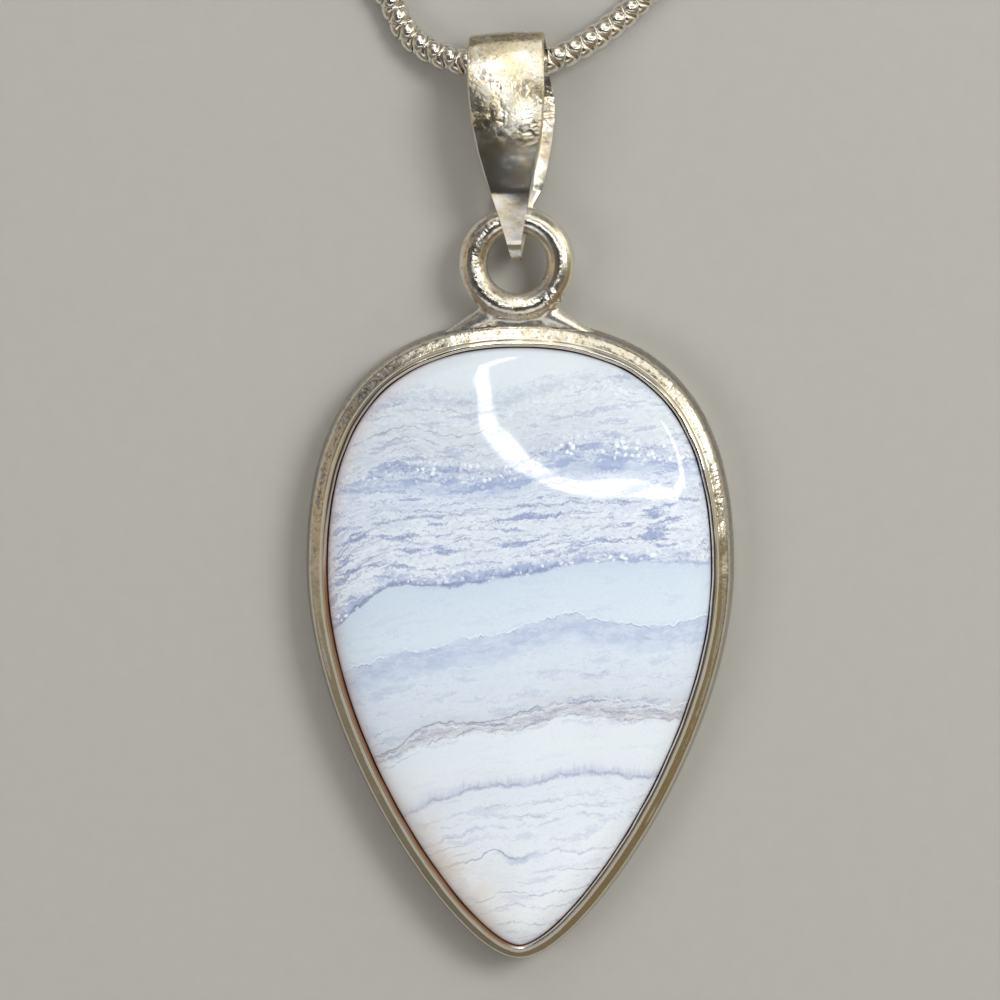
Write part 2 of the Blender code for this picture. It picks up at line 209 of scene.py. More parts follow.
INSIDE_CAP = 1.2
into_ring_cap = (ROUTE[0] - ROUTE[1]).normalized() * INSIDE_CAP
last_bend = COIL_CENTRE + Vector((0, COIL_MEAN_RADIUS + COIL_HALF_WIDTH, LOWER_Z))
tail = smooth_line([last_bend, last_bend.lerp(HOOK_CAP, 0.4) - Vector((0, 0, 0.1)), HOOK_CAP,
                    HOOK_CAP + Vector((INSIDE_CAP, 0, 0))])
chain_line = even_line([ROUTE[0] + into_ring_cap] + smooth_line(ROUTE) + coil_points() + tail[1:], STEP)
chain_length = sum((b - a).length for a, b in zip(chain_line, chain_line[1:]))
print("chain length in mm:", round(chain_length, 1), "in", len(chain_line), "points")

# %% [markdown]
# Shader maths reads badly as a list of nodes and links. A small class that wraps a socket lets it be
# written as sums and products instead: each operator adds one Math node. Everything else goes
# through one method, which takes a node's type, its settings and what its sockets are given.

# %% Writing materials as expressions
class Value:
    """A number on its way through a material. Sums and products of values add Math nodes."""

    def __init__(self, finish, socket):
        self.finish = finish
        self.socket = socket

    def math(self, operation, *terms, clamp=False):
        settings = {"operation": operation, "use_clamp": clamp}
        return self.finish.node("ShaderNodeMath", settings, dict(enumerate(terms)))

    def __add__(self, other):
        return self.math("ADD", self, other)

    def __sub__(self, other):
        return self.math("SUBTRACT", self, other)

    def __rsub__(self, other):
        return self.math("SUBTRACT", other, self)

    def __mul__(self, other):
        return self.math("MULTIPLY", self, other)

    def __truediv__(self, other):
        return self.math("DIVIDE", self, other)

    __radd__ = __add__
    __rmul__ = __mul__

    def clamp(self):
        return self.math("ADD", self, 0.0, clamp=True)

    def size(self):
        return self.math("ABSOLUTE", self)

    def rise(self, start, end):
        """Goes softly from 0 to 1 while this value goes from start to end."""
        settings = {"interpolation_type": "SMOOTHSTEP"}
        return self.finish.node("ShaderNodeMapRange", settings, {0: self, 1: start, 2: end, 3: 0.0, 4: 1.0})

    def fall(self, start, end):
        """Goes softly from 1 to 0 while this value goes from start to end."""
        return 1 - self.rise(start, end)


class Wiring:
    """A tree of shader nodes that is being wired up."""

    def __init__(self, tree):
        self.tree = tree

    def node(self, kind, settings, inputs, output=0):
        """Adds a node: its settings first, then a number, colour or link for each socket named."""
        made = self.tree.nodes.new(kind)
        for name, setting in settings.items():
            setattr(made, name, setting)
        for key, given in inputs.items():
            if isinstance(given, Value):
                self.tree.links.new(given.socket, made.inputs[key])
            else:
                made.inputs[key].default_value = given
        return Value(self, made.outputs[output])

    def place(self):
        """The place on the object in millimetres, as a vector."""
        metres = self.node("ShaderNodeTexCoord", {}, {}, output="Object")
        return self.node("ShaderNodeVectorMath", {"operation": "SCALE"}, {0: metres, "Scale": 1000.0})

    def parts(self, vector):
        """The three numbers of a vector."""
        split = self.node("ShaderNodeSeparateXYZ", {}, {0: vector})
        outputs = split.socket.node.outputs
        return [Value(self, outputs[index]) for index in range(3)]

    def vector(self, x, y, z):
        return self.node("ShaderNodeCombineXYZ", {}, {0: x, 1: y, 2: z})

    def stretch(self, vector, by):
        """Multiplies a vector's numbers one by one."""
        return self.node("ShaderNodeVectorMath", {"operation": "MULTIPLY"}, {0: vector, 1: by})

    def noise(self, vector, scale, detail=2.0, roughness=0.5):
        """Soft noise from 0 to 1."""
        return self.node("ShaderNodeTexNoise", {}, {"Vector": vector, "Scale": scale, "Detail": detail,
                                                   "Roughness": roughness})

    def grain(self, vector, stretch, scale, detail, roughness):
        """Soft noise that is finer in some directions than in others."""
        return self.noise(self.stretch(vector, stretch), scale, detail, roughness)

    def cells(self, vector, scale):
        """The distance to the nearest of many scattered points."""
        return self.node("ShaderNodeTexVoronoi", {}, {"Vector": vector, "Scale": scale})

    def mix(self, factor, first, second):
        """Goes from one colour to another."""
        return self.node("ShaderNodeMix", {"data_type": "RGBA"}, {0: factor, 6: first, 7: second}, output=2)

    def ramp(self, value, stops):
        """Gives the colour that a list of (level, colour) names for a value from 0 to 1."""
        made = self.node("ShaderNodeValToRGB", {}, {0: value})
        colours = made.socket.node.color_ramp
        while len(colours.elements) < len(stops):
            colours.elements.new(0.5)
        for element, (level, colour) in zip(colours.elements, stops):
            element.position = level
        for element, (level, colour) in zip(colours.elements, stops):
            element.color = colour
        return made


class Finish(Wiring):
    """A material, with its Principled shader."""

    def __init__(self, name):
        self.material = bpy.data.materials.new(name)
        self.material.use_nodes = True
        self.shader = self.material.node_tree.nodes["Principled BSDF"]
        super().__init__(self.material.node_tree)

    def attribute(self, name):
        """A number that the mesh holds at its points."""
        return self.node("ShaderNodeAttribute", {"attribute_name": name}, {}, output="Fac")

    def relief(self, height):
        """Turns heights, in millimetres, into the small slopes of a bump."""
        return self.node("ShaderNodeBump", {}, {"Height": height, "Distance": MM, "Strength": 1.0})

    def set(self, **sockets):
        """Gives the shader its numbers and links; a name's underscores stand for spaces."""
        for name, given in sockets.items():
            socket = self.shader.inputs[name.replace("_", " ")]
            if isinstance(given, Value):
                self.tree.links.new(given.socket, socket)
            else:
                socket.default_value = given
        return self.material


def paint(red, green, blue):
    """Turns a colour as the eye reads it, 0 to 255, into the light that a shader works in."""
    shares = [channel / 255 for channel in (red, green, blue)]
    return (*[(s / 12.92 if s <= 0.04045 else ((s + 0.055) / 1.055) ** 2.4) for s in shares], 1.0)


# %% [markdown]
# Blue lace agate grew in thin layers, one on another, so every band is a level of one field. The
# seams between the main bands are drawn, each as a curve across the stone, from the head
# down to the tip. Between two seams the level rises evenly from one whole number to the next, and
# everything that follows - colours, thin lines, torn edges - is a function of that level. A picture
# of the bands would be quicker, but it would stretch and blur, and it would stop at the surface.

# %% The seams between the bands
SEAM_SPAN_X = (-13.0, 13.0)
SEAM_SPAN_Y = (-20.0, 20.0)
SEAMS = [
    ("head edge", [(-13, 18.4), (13, 18.8)]),
    ("first speckle", [(-13, 11.8), (-11, 13.0), (-8.8, 14.2), (-5.8, 14.7), (-1.7, 14.4), (0.5, 14.9),
                       (2.4, 15.6), (7.1, 15.6), (10, 14.6), (13, 13.0)]),
    ("grey lines", [(-13, 10.4), (-10.5, 11.4), (-8, 12.6), (-6.7, 13.0), (-4.7, 12.6), (-1.7, 12.8),
                    (1, 13.4), (4, 14.0), (7, 14.0), (13, 12.6)]),
    ("blue crest", [(-13, 8.6), (-10.6, 9.4), (-8.2, 10.5), (-5.8, 10.8), (-2.9, 10.7), (-1, 10.6),
                    (1.2, 11.6), (3.6, 12.1), (7.1, 11.9), (9.5, 11.3), (13, 10.4)]),
    ("blue foot", [(-13, 7.8), (-10.6, 8.8), (-7, 8.9), (-2.3, 8.8), (0, 9.2), (2.4, 10.0), (6, 10.3),
                   (9.5, 10.1), (13, 9.6)]),
    ("dash line", [(-13, 2.6), (-11.3, 4.7), (-9.85, 6.4), (-8.6, 7.2), (-4.7, 7.8), (-1.1, 8.4),
                   (2.4, 8.7), (10.7, 8.7), (13, 8.6)]),
    ("plume top", [(-13, 1.2), (-10.6, 3.6), (-9.4, 4.6), (-7.9, 5.5), (-4.7, 5.9), (-1.1, 6.2),
                   (2.4, 6.6), (6, 6.9), (10.7, 6.6), (13, 6.4)]),
    ("plume foot", [(-13, -0.8), (-10.9, 1.1), (-9.0, 2.7), (-7.2, 3.7), (-5.2, 3.5), (-2.3, 3.95),
                    (0.1, 4.37), (2.4, 4.9), (4.8, 5.15), (8, 5.0), (10.7, 4.9), (13, 4.9)]),
    ("wave", [(-13, -2.8), (-11, -2.0), (-9.1, -1.1), (-7.0, -0.4), (-5.2, -0.1), (-3.5, 0.4),
              (-1.1, 0.9), (0.65, 1.4), (3.0, 2.1), (4.4, 1.7), (6, 1.5), (8.3, 1.3), (11.3, 1.9),
              (13, 2.2)]),
    ("mauve top", [(-13, -9.6), (-9.5, -7.2), (-7.0, -5.8), (-5.25, -4.5), (-2.3, -4.45),
                   (-0.5, -4.0), (1.2, -3.4), (4.2, -2.8), (7.7, -3.0), (13, -3.2)]),
    ("mauve foot", [(-13, -10.4), (-10, -8.2), (-7.9, -6.8), (-5.2, -5.5), (-2.9, -5.0),
                    (0.1, -4.7), (2.4, -3.95), (5, -4.0), (7.1, -4.2), (13, -4.0)]),
    ("feather", [(-13, -14.2), (-9, -11.6), (-6.4, -9.9), (-4.7, -9.0), (-1.7, -8.1), (0.7, -7.9),
                 (3.3, -7.3), (7.7, -7.6), (13, -7.4)]),
    ("squiggle", [(-13, -17.4), (-6, -14.1), (-4.4, -13.3), (-2.3, -12.5), (-1.4, -12.0),
                  (-0.2, -12.5), (0.8, -12.1), (3.6, -12.0), (13, -11.4)]),
    ("low line", [(-13, -19.4), (-5, -16.4), (-2.3, -15.2), (-0.5, -14.5), (1.2, -14.6), (4, -14.3),
                  (13, -13.6)]),
    ("tip", [(-13, -20.0), (13, -19.0)]),
]
LAST_LEVEL = len(SEAMS) - 1


def drawn_curve(finish, share, places, handles="AUTO"):
    """Gives the height of a drawn curve at a share of its length, all from 0 to 1."""
    made = finish.node("ShaderNodeFloatCurve", {}, {"Factor": 1.0, "Value": share})
    mapping = made.socket.node.mapping
    curve = mapping.curves[0]
    curve.points[0].location = places[0]
    curve.points[1].location = places[-1]
    for place in places[1:-1]:
        curve.points.new(*place)
    for point in curve.points:
        point.handle_type = handles
    mapping.update()
    return made


def seam_curve(finish, across, points):
    """Gives the height of a seam, in mm, at a place across the stone."""
    left, right = SEAM_SPAN_X
    low, high = SEAM_SPAN_Y
    places = [((x - left) / (right - left), (y - low) / (high - low)) for x, y in points]
    return drawn_curve(finish, (across - left) / (right - left), places) * (high - low) + low


def band_level(finish, height, curves):
    """Counts the seams above a place: 3.5 is halfway between the fourth seam and the fifth."""
    level = None
    for upper, lower in zip(curves, curves[1:]):
        share = finish.node("ShaderNodeMath", {"operation": "DIVIDE", "use_clamp": True},
                            {0: upper - height, 1: upper - lower})
        level = share if level is None else level + share
    return level


print("bands:", LAST_LEVEL)

# %% [markdown]
# The colours of the bands are few: a clear sky blue, a lavender, a milky white and a grey. What
# makes the stone look like lace is at their edges. There the layers are torn into tiny plumes, and
# small round grains of clearer quartz sit in rows. Noise moves the level by an amount that differs
# from band to band, so some edges stay sharp and others fray.

# %% The stone's finish
ICE = paint(222, 232, 243)
MILK = paint(244, 248, 253)
PERIWINKLE = paint(150, 166, 206)
SLATE_BLUE = paint(112, 126, 168)
LILAC = paint(180, 188, 212)
SPOT_BLUE = paint(142, 156, 196)
WAVE_BLUE = paint(180, 193, 220)
FEATHER_GREY = paint(186, 192, 216)
MAUVE = paint(178, 177, 192)
LINE_GREY = paint(134, 137, 156)
LINE_BLUE = paint(128, 138, 174)
LINE_BROWN = paint(146, 138, 142)
CREAM = paint(222, 209, 196)
ROSE = paint(224, 208, 210)

# The ground colour at each level of the stone, from the head to the tip.
BAND_COLOURS = [
    (0.0, (208, 218, 227)), (0.8, (210, 219, 227)), (1.0, (190, 200, 213)), (1.35, (208, 217, 225)),
    (1.8, (205, 214, 223)), (2.4, (204, 212, 223)), (2.85, (203, 211, 224)), (3.05, (207, 216, 229)),
    (3.35, (198, 208, 226)), (3.58, (190, 202, 222)), (3.75, (190, 202, 224)), (3.92, (206, 216, 233)),
    (4.4, (207, 217, 234)), (5.0, (206, 216, 233)), (5.5, (219, 227, 239)), (5.95, (214, 223, 237)),
    (6.4, (224, 231, 242)), (6.8, (217, 225, 239)), (6.97, (184, 194, 220)), (7.03, (205, 218, 235)),
    (7.4, (212, 225, 239)), (7.9, (217, 229, 242)), (8.02, (203, 214, 234)), (8.2, (206, 217, 236)),
    (8.42, (216, 226, 240)), (8.8, (216, 224, 237)), (9.0, (212, 217, 228)), (9.3, (206, 208, 218)),
    (9.8, (204, 205, 214)), (9.97, (214, 218, 228)), (10.05, (228, 235, 243)), (10.55, (231, 237, 244)),
    (10.85, (228, 233, 242)), (10.99, (214, 219, 235)), (11.05, (227, 232, 242)), (11.5, (230, 236, 245)),
    (12.1, (233, 238, 246)), (13.0, (232, 236, 243)), (13.8, (229, 230, 233))]

# How far the bands' edges fray, where the stone is mottled, where its clear grains lie, and where
# the mauve cloud and the blue patches are: each an amount for a level.
TORN_EDGES = [
    (0.0, 0.02), (0.8, 0.30), (1.3, 0.30), (2.0, 0.14), (2.8, 0.30), (3.2, 0.16), (4.0, 0.20), (5.0, 0.32),
    (6.0, 0.34), (6.8, 0.14), (6.97, 0.015), (7.5, 0.03), (8.0, 0.03), (8.5, 0.10), (9.0, 0.05),
    (9.6, 0.26), (10.0, 0.04), (10.6, 0.06), (10.95, 0.03), (11.3, 0.08), (14.0, 0.10)]

MOTTLED_ZONES = [
    (0.0, 0.0), (0.7, 0.05), (1.0, 0.55), (1.6, 0.45), (2.2, 0.45), (2.8, 0.65), (3.4, 0.60), (4.0, 0.75),
    (4.5, 0.85), (5.2, 1.0), (6.2, 1.0), (6.9, 0.8), (7.02, 0.10), (8.0, 0.12), (8.3, 0.25), (9.0, 0.25),
    (9.2, 0.9), (9.8, 0.9), (10.0, 0.45), (10.2, 0.06), (10.9, 0.10), (11.4, 0.26), (14.0, 0.32)]

GRAIN_ZONES = [
    (0.0, 0.0), (0.9, 0.0), (1.15, 0.30), (1.6, 0.30), (2.0, 0.05), (2.7, 0.10), (2.95, 0.85), (3.3, 1.0),
    (3.55, 0.45), (3.75, 0.0), (4.8, 0.0), (5.2, 0.2), (6.0, 0.1), (6.4, 0.20), (6.7, 0.80), (6.96, 1.0),
    (7.03, 0.0), (8.0, 0.0), (14.0, 0.0)]

MAUVE_CLOUD = [(0.0, 0.0), (8.85, 0.0), (9.1, 0.6), (9.5, 1.0), (9.9, 0.8), (10.02, 0.0), (14.0, 0.0)]

BLUE_PATCHES = [
    (0.0, 0.0), (2.9, 0.0), (3.15, 0.7), (3.5, 1.0), (3.8, 0.45), (3.95, 0.0), (6.0, 0.0), (6.45, 0.15),
    (6.85, 0.85), (6.98, 0.6), (7.02, 0.0), (14.0, 0.0)]

LEFT, ALL_OVER, RIGHT = (-13.0, -0.5), (-14.0, 14.0), (0.5, 13.0)
LEFT_EDGE = ALL_OVER[0]

# Each growth line: the seam that it follows, how far above it in mm, its half width in mm, its
# strength, its colour, how broken it is, and from where to where it goes across the stone.
GROWTH_LINES = [
    (1, 0.10, 0.10, 0.34, LINE_GREY, 0.9, LEFT), (1, -0.55, 0.05, 0.40, LINE_GREY, 0.6, LEFT),
    (2, 0.05, 0.045, 0.70, LINE_BROWN, 0.6, LEFT), (2, -0.62, 0.040, 0.62, LINE_BROWN, 0.8, LEFT),
    (2, -1.30, 0.035, 0.55, LINE_GREY, 0.9, LEFT), (2, 0.5, 0.05, 0.35, LINE_GREY, 1.0, RIGHT),
    (3, -0.10, 0.12, 0.45, SLATE_BLUE, 0.9, ALL_OVER), (4, -0.85, 0.05, 0.40, LINE_BLUE, 0.9, ALL_OVER),
    (5, 0.65, 0.05, 0.35, LINE_BLUE, 0.9, ALL_OVER), (5, 0.0, 0.085, 0.65, LINE_BLUE, 0.8, ALL_OVER),
    (5, -1.0, 0.07, 0.50, LINE_BLUE, 0.9, ALL_OVER), (6, 0.30, 0.06, 0.45, LINE_GREY, 0.9, ALL_OVER),
    (6, -0.30, 0.08, 0.50, LINE_BLUE, 0.95, ALL_OVER), (7, 0.42, 0.34, 0.55, PERIWINKLE, 0.35, (-2.8, 3.4)),
    (7, 0.12, 0.15, 0.55, SLATE_BLUE, 0.45, (LEFT_EDGE, 3.6)),
    (5, -0.25, 0.06, 0.7, LINE_GREY, 0.2, (LEFT_EDGE, -7.5)),
    (5, -0.8, 0.06, 0.6, LINE_GREY, 0.2, (LEFT_EDGE, -8.0)),
    (6, 0.15, 0.06, 0.7, LINE_BLUE, 0.2, (LEFT_EDGE, -7.0)),
    (7, 0.0, 0.06, 0.50, LINE_GREY, 0.4, (LEFT_EDGE, -5.0)), (8, 0.12, 0.06, 0.60, MILK, 0.6, ALL_OVER),
    (8, 0.0, 0.055, 0.50, LINE_BLUE, 0.8, ALL_OVER), (8, -0.35, 0.045, 0.30, MILK, 0.8, ALL_OVER),
    (8, -0.75, 0.05, 0.22, LINE_BLUE, 0.9, ALL_OVER), (8, -1.6, 0.06, 0.24, MILK, 0.7, ALL_OVER),
    (9, 1.35, 0.05, 0.30, LINE_GREY, 0.7, RIGHT), (9, 0.75, 0.05, 0.45, LINE_GREY, 0.6, (LEFT_EDGE, -6.0)),
    (9, 1.3, 0.05, 0.40, LINE_GREY, 0.7, (LEFT_EDGE, -6.5)),
    (9, 0.0, 0.055, 0.75, LINE_GREY, 0.3, (LEFT_EDGE, 2.5)), (9, -0.05, 0.06, 0.45, LINE_BROWN, 0.9, RIGHT),
    (9, -0.22, 0.05, 0.50, MILK, 0.6, ALL_OVER), (10, 0.36, 0.05, 0.55, LINE_BROWN, 0.8, ALL_OVER),
    (10, 0.0, 0.055, 0.62, LINE_BROWN, 0.7, ALL_OVER),
    (10, -0.45, 0.05, 0.50, LINE_GREY, 0.5, (LEFT_EDGE, -5.5)),
    (11, 0.0, 0.09, 0.40, LINE_BLUE, 0.5, ALL_OVER), (11, -2.0, 0.045, 0.35, LINE_GREY, 0.8, ALL_OVER),
    (12, 1.7, 0.045, 0.60, LINE_GREY, 0.3, (LEFT_EDGE, -2.6)),
    (12, 1.1, 0.045, 0.55, LINE_GREY, 0.3, (LEFT_EDGE, -2.2)),
    (12, 0.55, 0.045, 0.50, LINE_GREY, 0.4, (LEFT_EDGE, -2.0)),
    (11, -1.3, 0.09, 0.30, SPOT_BLUE, 0.9, ALL_OVER), (11, -2.6, 0.10, 0.34, SPOT_BLUE, 0.8, ALL_OVER),
    (12, -0.12, 0.20, 0.60, PERIWINKLE, 0.2, (-1.9, 2.2)),
    (12, 0.0, 0.06, 0.70, LINE_BLUE, 0.3, (LEFT_EDGE, 1.2)), (12, 0.0, 0.06, 0.35, LINE_BLUE, 0.7, RIGHT),
    (12, -0.18, 0.05, 0.40, MILK, 0.5, ALL_OVER), (12, -1.15, 0.045, 0.45, LINE_GREY, 0.5, RIGHT),
    (13, 0.0, 0.045, 0.55, LINE_GREY, 0.5, ALL_OVER), (13, -0.8, 0.045, 0.45, LINE_GREY, 0.6, ALL_OVER),
    (13, -1.9, 0.05, 0.45, LINE_GREY, 0.6, ALL_OVER)]
WAVE_SEAM = 8
FEATHER_SEAM = 11
FADE = 2.0


def levels_curve(finish, level, points):
    """Gives a drawn amount, from 0 to 1, for each level of the stone."""
    places = [(place / LAST_LEVEL, amount) for place, amount in points]
    return drawn_curve(finish, level / LAST_LEVEL, places, "VECTOR")


class Agate(Finish):
    """The stone's material: the fields that its layers share, and the colour that they are laid on."""

    def __init__(self, name):
        super().__init__(name)
        self.spot = self.place()
        self.across, height, self.depth = self.parts(self.spot)
        sway = self.noise(self.spot, 0.16, 2.0) - 0.5
        wobble = self.grain(self.spot, (0.75, 1.0, 1.0), 0.75, 3.0, 0.55) - 0.5
        teeth = self.grain(self.spot, (1.0, 0.3, 1.0), 1.25, 3.0, 0.6) - 0.5
        self.frill = self.grain(self.spot, (1.0, 0.45, 1.0), 2.1, 3.0, 0.6) - 0.5
        self.fray = self.grain(self.spot, (1.0, 0.85, 1.0), 3.1, 5.0, 0.68) - 0.5
        self.crumbs = self.noise(self.spot, 8.5, 3.0, 0.6) - 0.5
        self.height = height + sway * 0.5 + wobble * 0.5 + teeth * 0.45
        self.seams = [seam_curve(self, self.across, points) for name, points in SEAMS]
        self.level = band_level(self, self.height, self.seams)
        torn = levels_curve(self, self.level, TORN_EDGES)
        self.ragged = self.level + (self.fray * 2.2 + self.crumbs * 1.2) * torn
        along_bands = self.level - (self.height - self.across * 0.11) * 0.9 + self.fray * 0.5
        self.flow = self.vector(self.across, along_bands, self.depth)
        self.colour = self.ground()

    def ground(self):
        """The bands' own colours. A ramp holds 32 stops, so the upper and the lower half have one each."""
        half = LAST_LEVEL / 2
        upper = [(at / half, paint(*ink)) for at, ink in BAND_COLOURS if at <= half]
        lower = [(at / half - 1, paint(*ink)) for at, ink in BAND_COLOURS if at > half]
        above = self.ramp(self.ragged / half, upper)
        below = self.ramp(self.ragged / half - 1.0, lower)
        return self.mix(self.ragged.math("GREATER_THAN", self.ragged, half), above, below)

    def lay(self, share, ink):
        """Lays a colour over what is there."""
        self.colour = self.mix(share, self.colour, ink)

    def mottle(self):
        """Streaks, smears with milky shores and fine specks, all drawn out along the bands."""
        mottled = levels_curve(self, self.level, MOTTLED_ZONES)
        streak = self.grain(self.flow, (0.55, 2.4, 0.5), 1.0, 5.0, 0.66)
        fine = self.grain(self.flow, (2.4, 4.2, 1.0), 1.0, 4.0, 0.72)
        smear = self.grain(self.flow, (0.34, 1.5, 1.0), 1.0, 4.0, 0.64) + self.crumbs * 0.22
        shore = (smear.rise(0.40, 0.47) - smear.rise(0.49, 0.58)) * mottled
        self.lay(streak.rise(0.52, 0.70) * mottled * 0.55, ICE)
        self.lay(streak.fall(0.32, 0.48) * mottled * 0.35, LILAC)
        self.lay(smear.fall(0.35, 0.48) * mottled * 0.84, SPOT_BLUE)
        self.lay(shore.clamp() * 0.40, MILK)
        self.lay(fine.fall(0.37, 0.46) * mottled * 0.42, SPOT_BLUE)
        self.lay(fine.rise(0.56, 0.66) * mottled * 0.45, MILK)

    def patches(self):
        """The blue patches of two seams, crumbs all over and the mauve cloud."""
        patch = self.grain(self.flow, (0.42, 1.2, 1.0), 1.0, 4.0, 0.62) + self.crumbs * 0.2
        cloud = self.grain(self.spot, (0.8, 1.3, 1.0), 1.0, 5.0, 0.7)
        self.lay(patch.rise(0.43, 0.58) * levels_curve(self, self.ragged, BLUE_PATCHES) * 0.80, PERIWINKLE)
        self.lay(self.crumbs.rise(0.05, 0.25) * 0.16, MILK)
        self.lay(self.crumbs.fall(-0.25, -0.05) * 0.14, SPOT_BLUE)
        self.lay(cloud.rise(0.44, 0.60) * levels_curve(self, self.ragged, MAUVE_CLOUD) * 0.55, MAUVE)

    def wave_and_feather(self):
        """Blue that blooms under the wave, and fibres that stand on the feather."""
        under = self.seams[WAVE_SEAM] - self.height
        blotch = self.grain(self.spot, (0.7, 1.0, 1.0), 1.5, 4.0, 0.65) + self.crumbs * 0.3
        bloom = under.rise(-0.10, 0.25) * under.fall(0.3, 2.2) * blotch.rise(0.40, 0.62)
        self.lay(bloom * 0.70, WAVE_BLUE)
        above = self.height - self.seams[FEATHER_SEAM]
        fibre = self.grain(self.spot, (5.0, 0.7, 1.0), 1.0, 3.0, 0.6)
        tips = (above * 0.50 + 0.36 - fibre).fall(-0.18, 0.10)
        self.lay((above + self.fray * 0.5).rise(-0.22, 0.12) * tips * 0.55, FEATHER_GREY)

    def growth_lines(self):
        """The thin lines that follow the seams, broken into dashes."""
        dashes = self.grain(self.flow, (0.9, 1.6, 1.0), 1.15, 4.0, 0.7)
        for seam, above, reach, strength, ink, broken, (left, right) in GROWTH_LINES:
            off = (self.height + self.frill * (0.30 + 0.5 * broken) - self.seams[seam] - above).size()
            line = (off / (dashes * reach * 2.6 + reach * 0.2)).fall(0.0, 1.0)
            line = line * strength * dashes.rise(0.22 + broken * 0.22, 0.42 + broken * 0.2)
            if left > ALL_OVER[0]:
                line = line * self.across.rise(left, left + FADE)
            if right < ALL_OVER[1]:
                line = line * self.across.fall(right - FADE, right)
            self.lay(line, ink)

    def grains(self):
        """Small round grains of clear quartz in darker specks, in crowds."""
        here = levels_curve(self, self.ragged, GRAIN_ZONES)
        self.lay(self.noise(self.spot, 4.4, 4.0, 0.7).rise(0.53, 0.66) * here * 0.6, SLATE_BLUE)
        jostled = self.vector(self.across + self.fray * 0.35 + self.crumbs * 0.20,
                              self.height + self.fray * 0.25 - self.crumbs * 0.25, self.depth)
        nearest = self.cells(jostled, 3.1)
        chance, girth = self.parts(Value(self, nearest.socket.node.outputs["Color"]))[:2]
        crowd = self.noise(self.spot, 0.8, 2.0).rise(0.36, 0.56) * 0.6 + 0.4
        inside = (nearest / (girth * 0.7 + 0.55)).fall(0.26, 0.46)
        self.lay(inside * here * chance.rise(0.2, 0.4) * crowd, MILK)

    def rosy_rim_and_stain(self):
        """A rosy tint along the left rim, and low on that side a cream stain, as iron leaves in agate."""
        near_rim = self.attribute("rim")
        self.lay(near_rim.rise(0.92, 1.0) * (0.0 - self.across).rise(2.0, 9.0) * 0.45, ROSE)
        low = (0.0 - self.height).rise(6.0, 14.0) * self.across.fall(-3.0, 1.0) * near_rim.rise(0.72, 0.98)
        self.lay(low * (self.noise(self.spot, 0.5, 3.0).rise(0.35, 0.65) * 0.5 + 0.25), CREAM)


def agate_finish():
    """Blue lace agate: torn bands, thin growth lines, clear grains and a glassy polish."""
    agate = Agate("blue_lace_agate")
    agate.mottle()
    agate.patches()
    agate.wave_and_feather()
    agate.growth_lines()
    agate.grains()
    agate.rosy_rim_and_stain()
    return agate.set(Base_Color=agate.colour, Roughness=0.05, IOR=1.54, Coat_Weight=0.35,
                     Coat_Roughness=0.03, Normal=agate.relief(agate.noise(agate.spot, 0.4, 2.0) * 0.012))


AGATE = agate_finish()
print("nodes in the stone's finish:", len(AGATE.node_tree.nodes))

# %% [markdown]
# Silver is a mirror, so its look comes from its surface: fine scratches that cross, patches where
# the polish has dulled, and a faint warm tarnish where fingers and cloth don't reach. Scratches are
# noise that is stretched a great deal one way. Three such layers, each turned, read as wear.

# %% Silver finishes
SILVER_WHITE = (0.90, 0.875, 0.81, 1.0)
SILVER_WARM = (0.82, 0.69, 0.45, 1.0)
# Dark silver for grime, and for the painted dark reflection on the collar's outer wall.
SILVER_GRIME_AND_SHADE = (0.25, 0.215, 0.165, 1.0)
# Brown for the dark line of a joint, and for painted shade on the collar's lower-left lip and the chain's
# core.
SEAM_AND_SHADE_BROWN = (0.22, 0.10, 0.045, 1.0)


def scratches(finish, place, angle, fine):
    """Fine hairlines that run one way, from 0 to 1."""
    turned = finish.node("ShaderNodeVectorRotate", {"rotation_type": "EULER_XYZ"},
                         {"Vector": place, "Rotation": (0.3, 0.2, math.radians(angle))})
    return finish.noise(finish.stretch(turned, (fine, 0.9, fine)), 1.0, 3.0, 0.65)


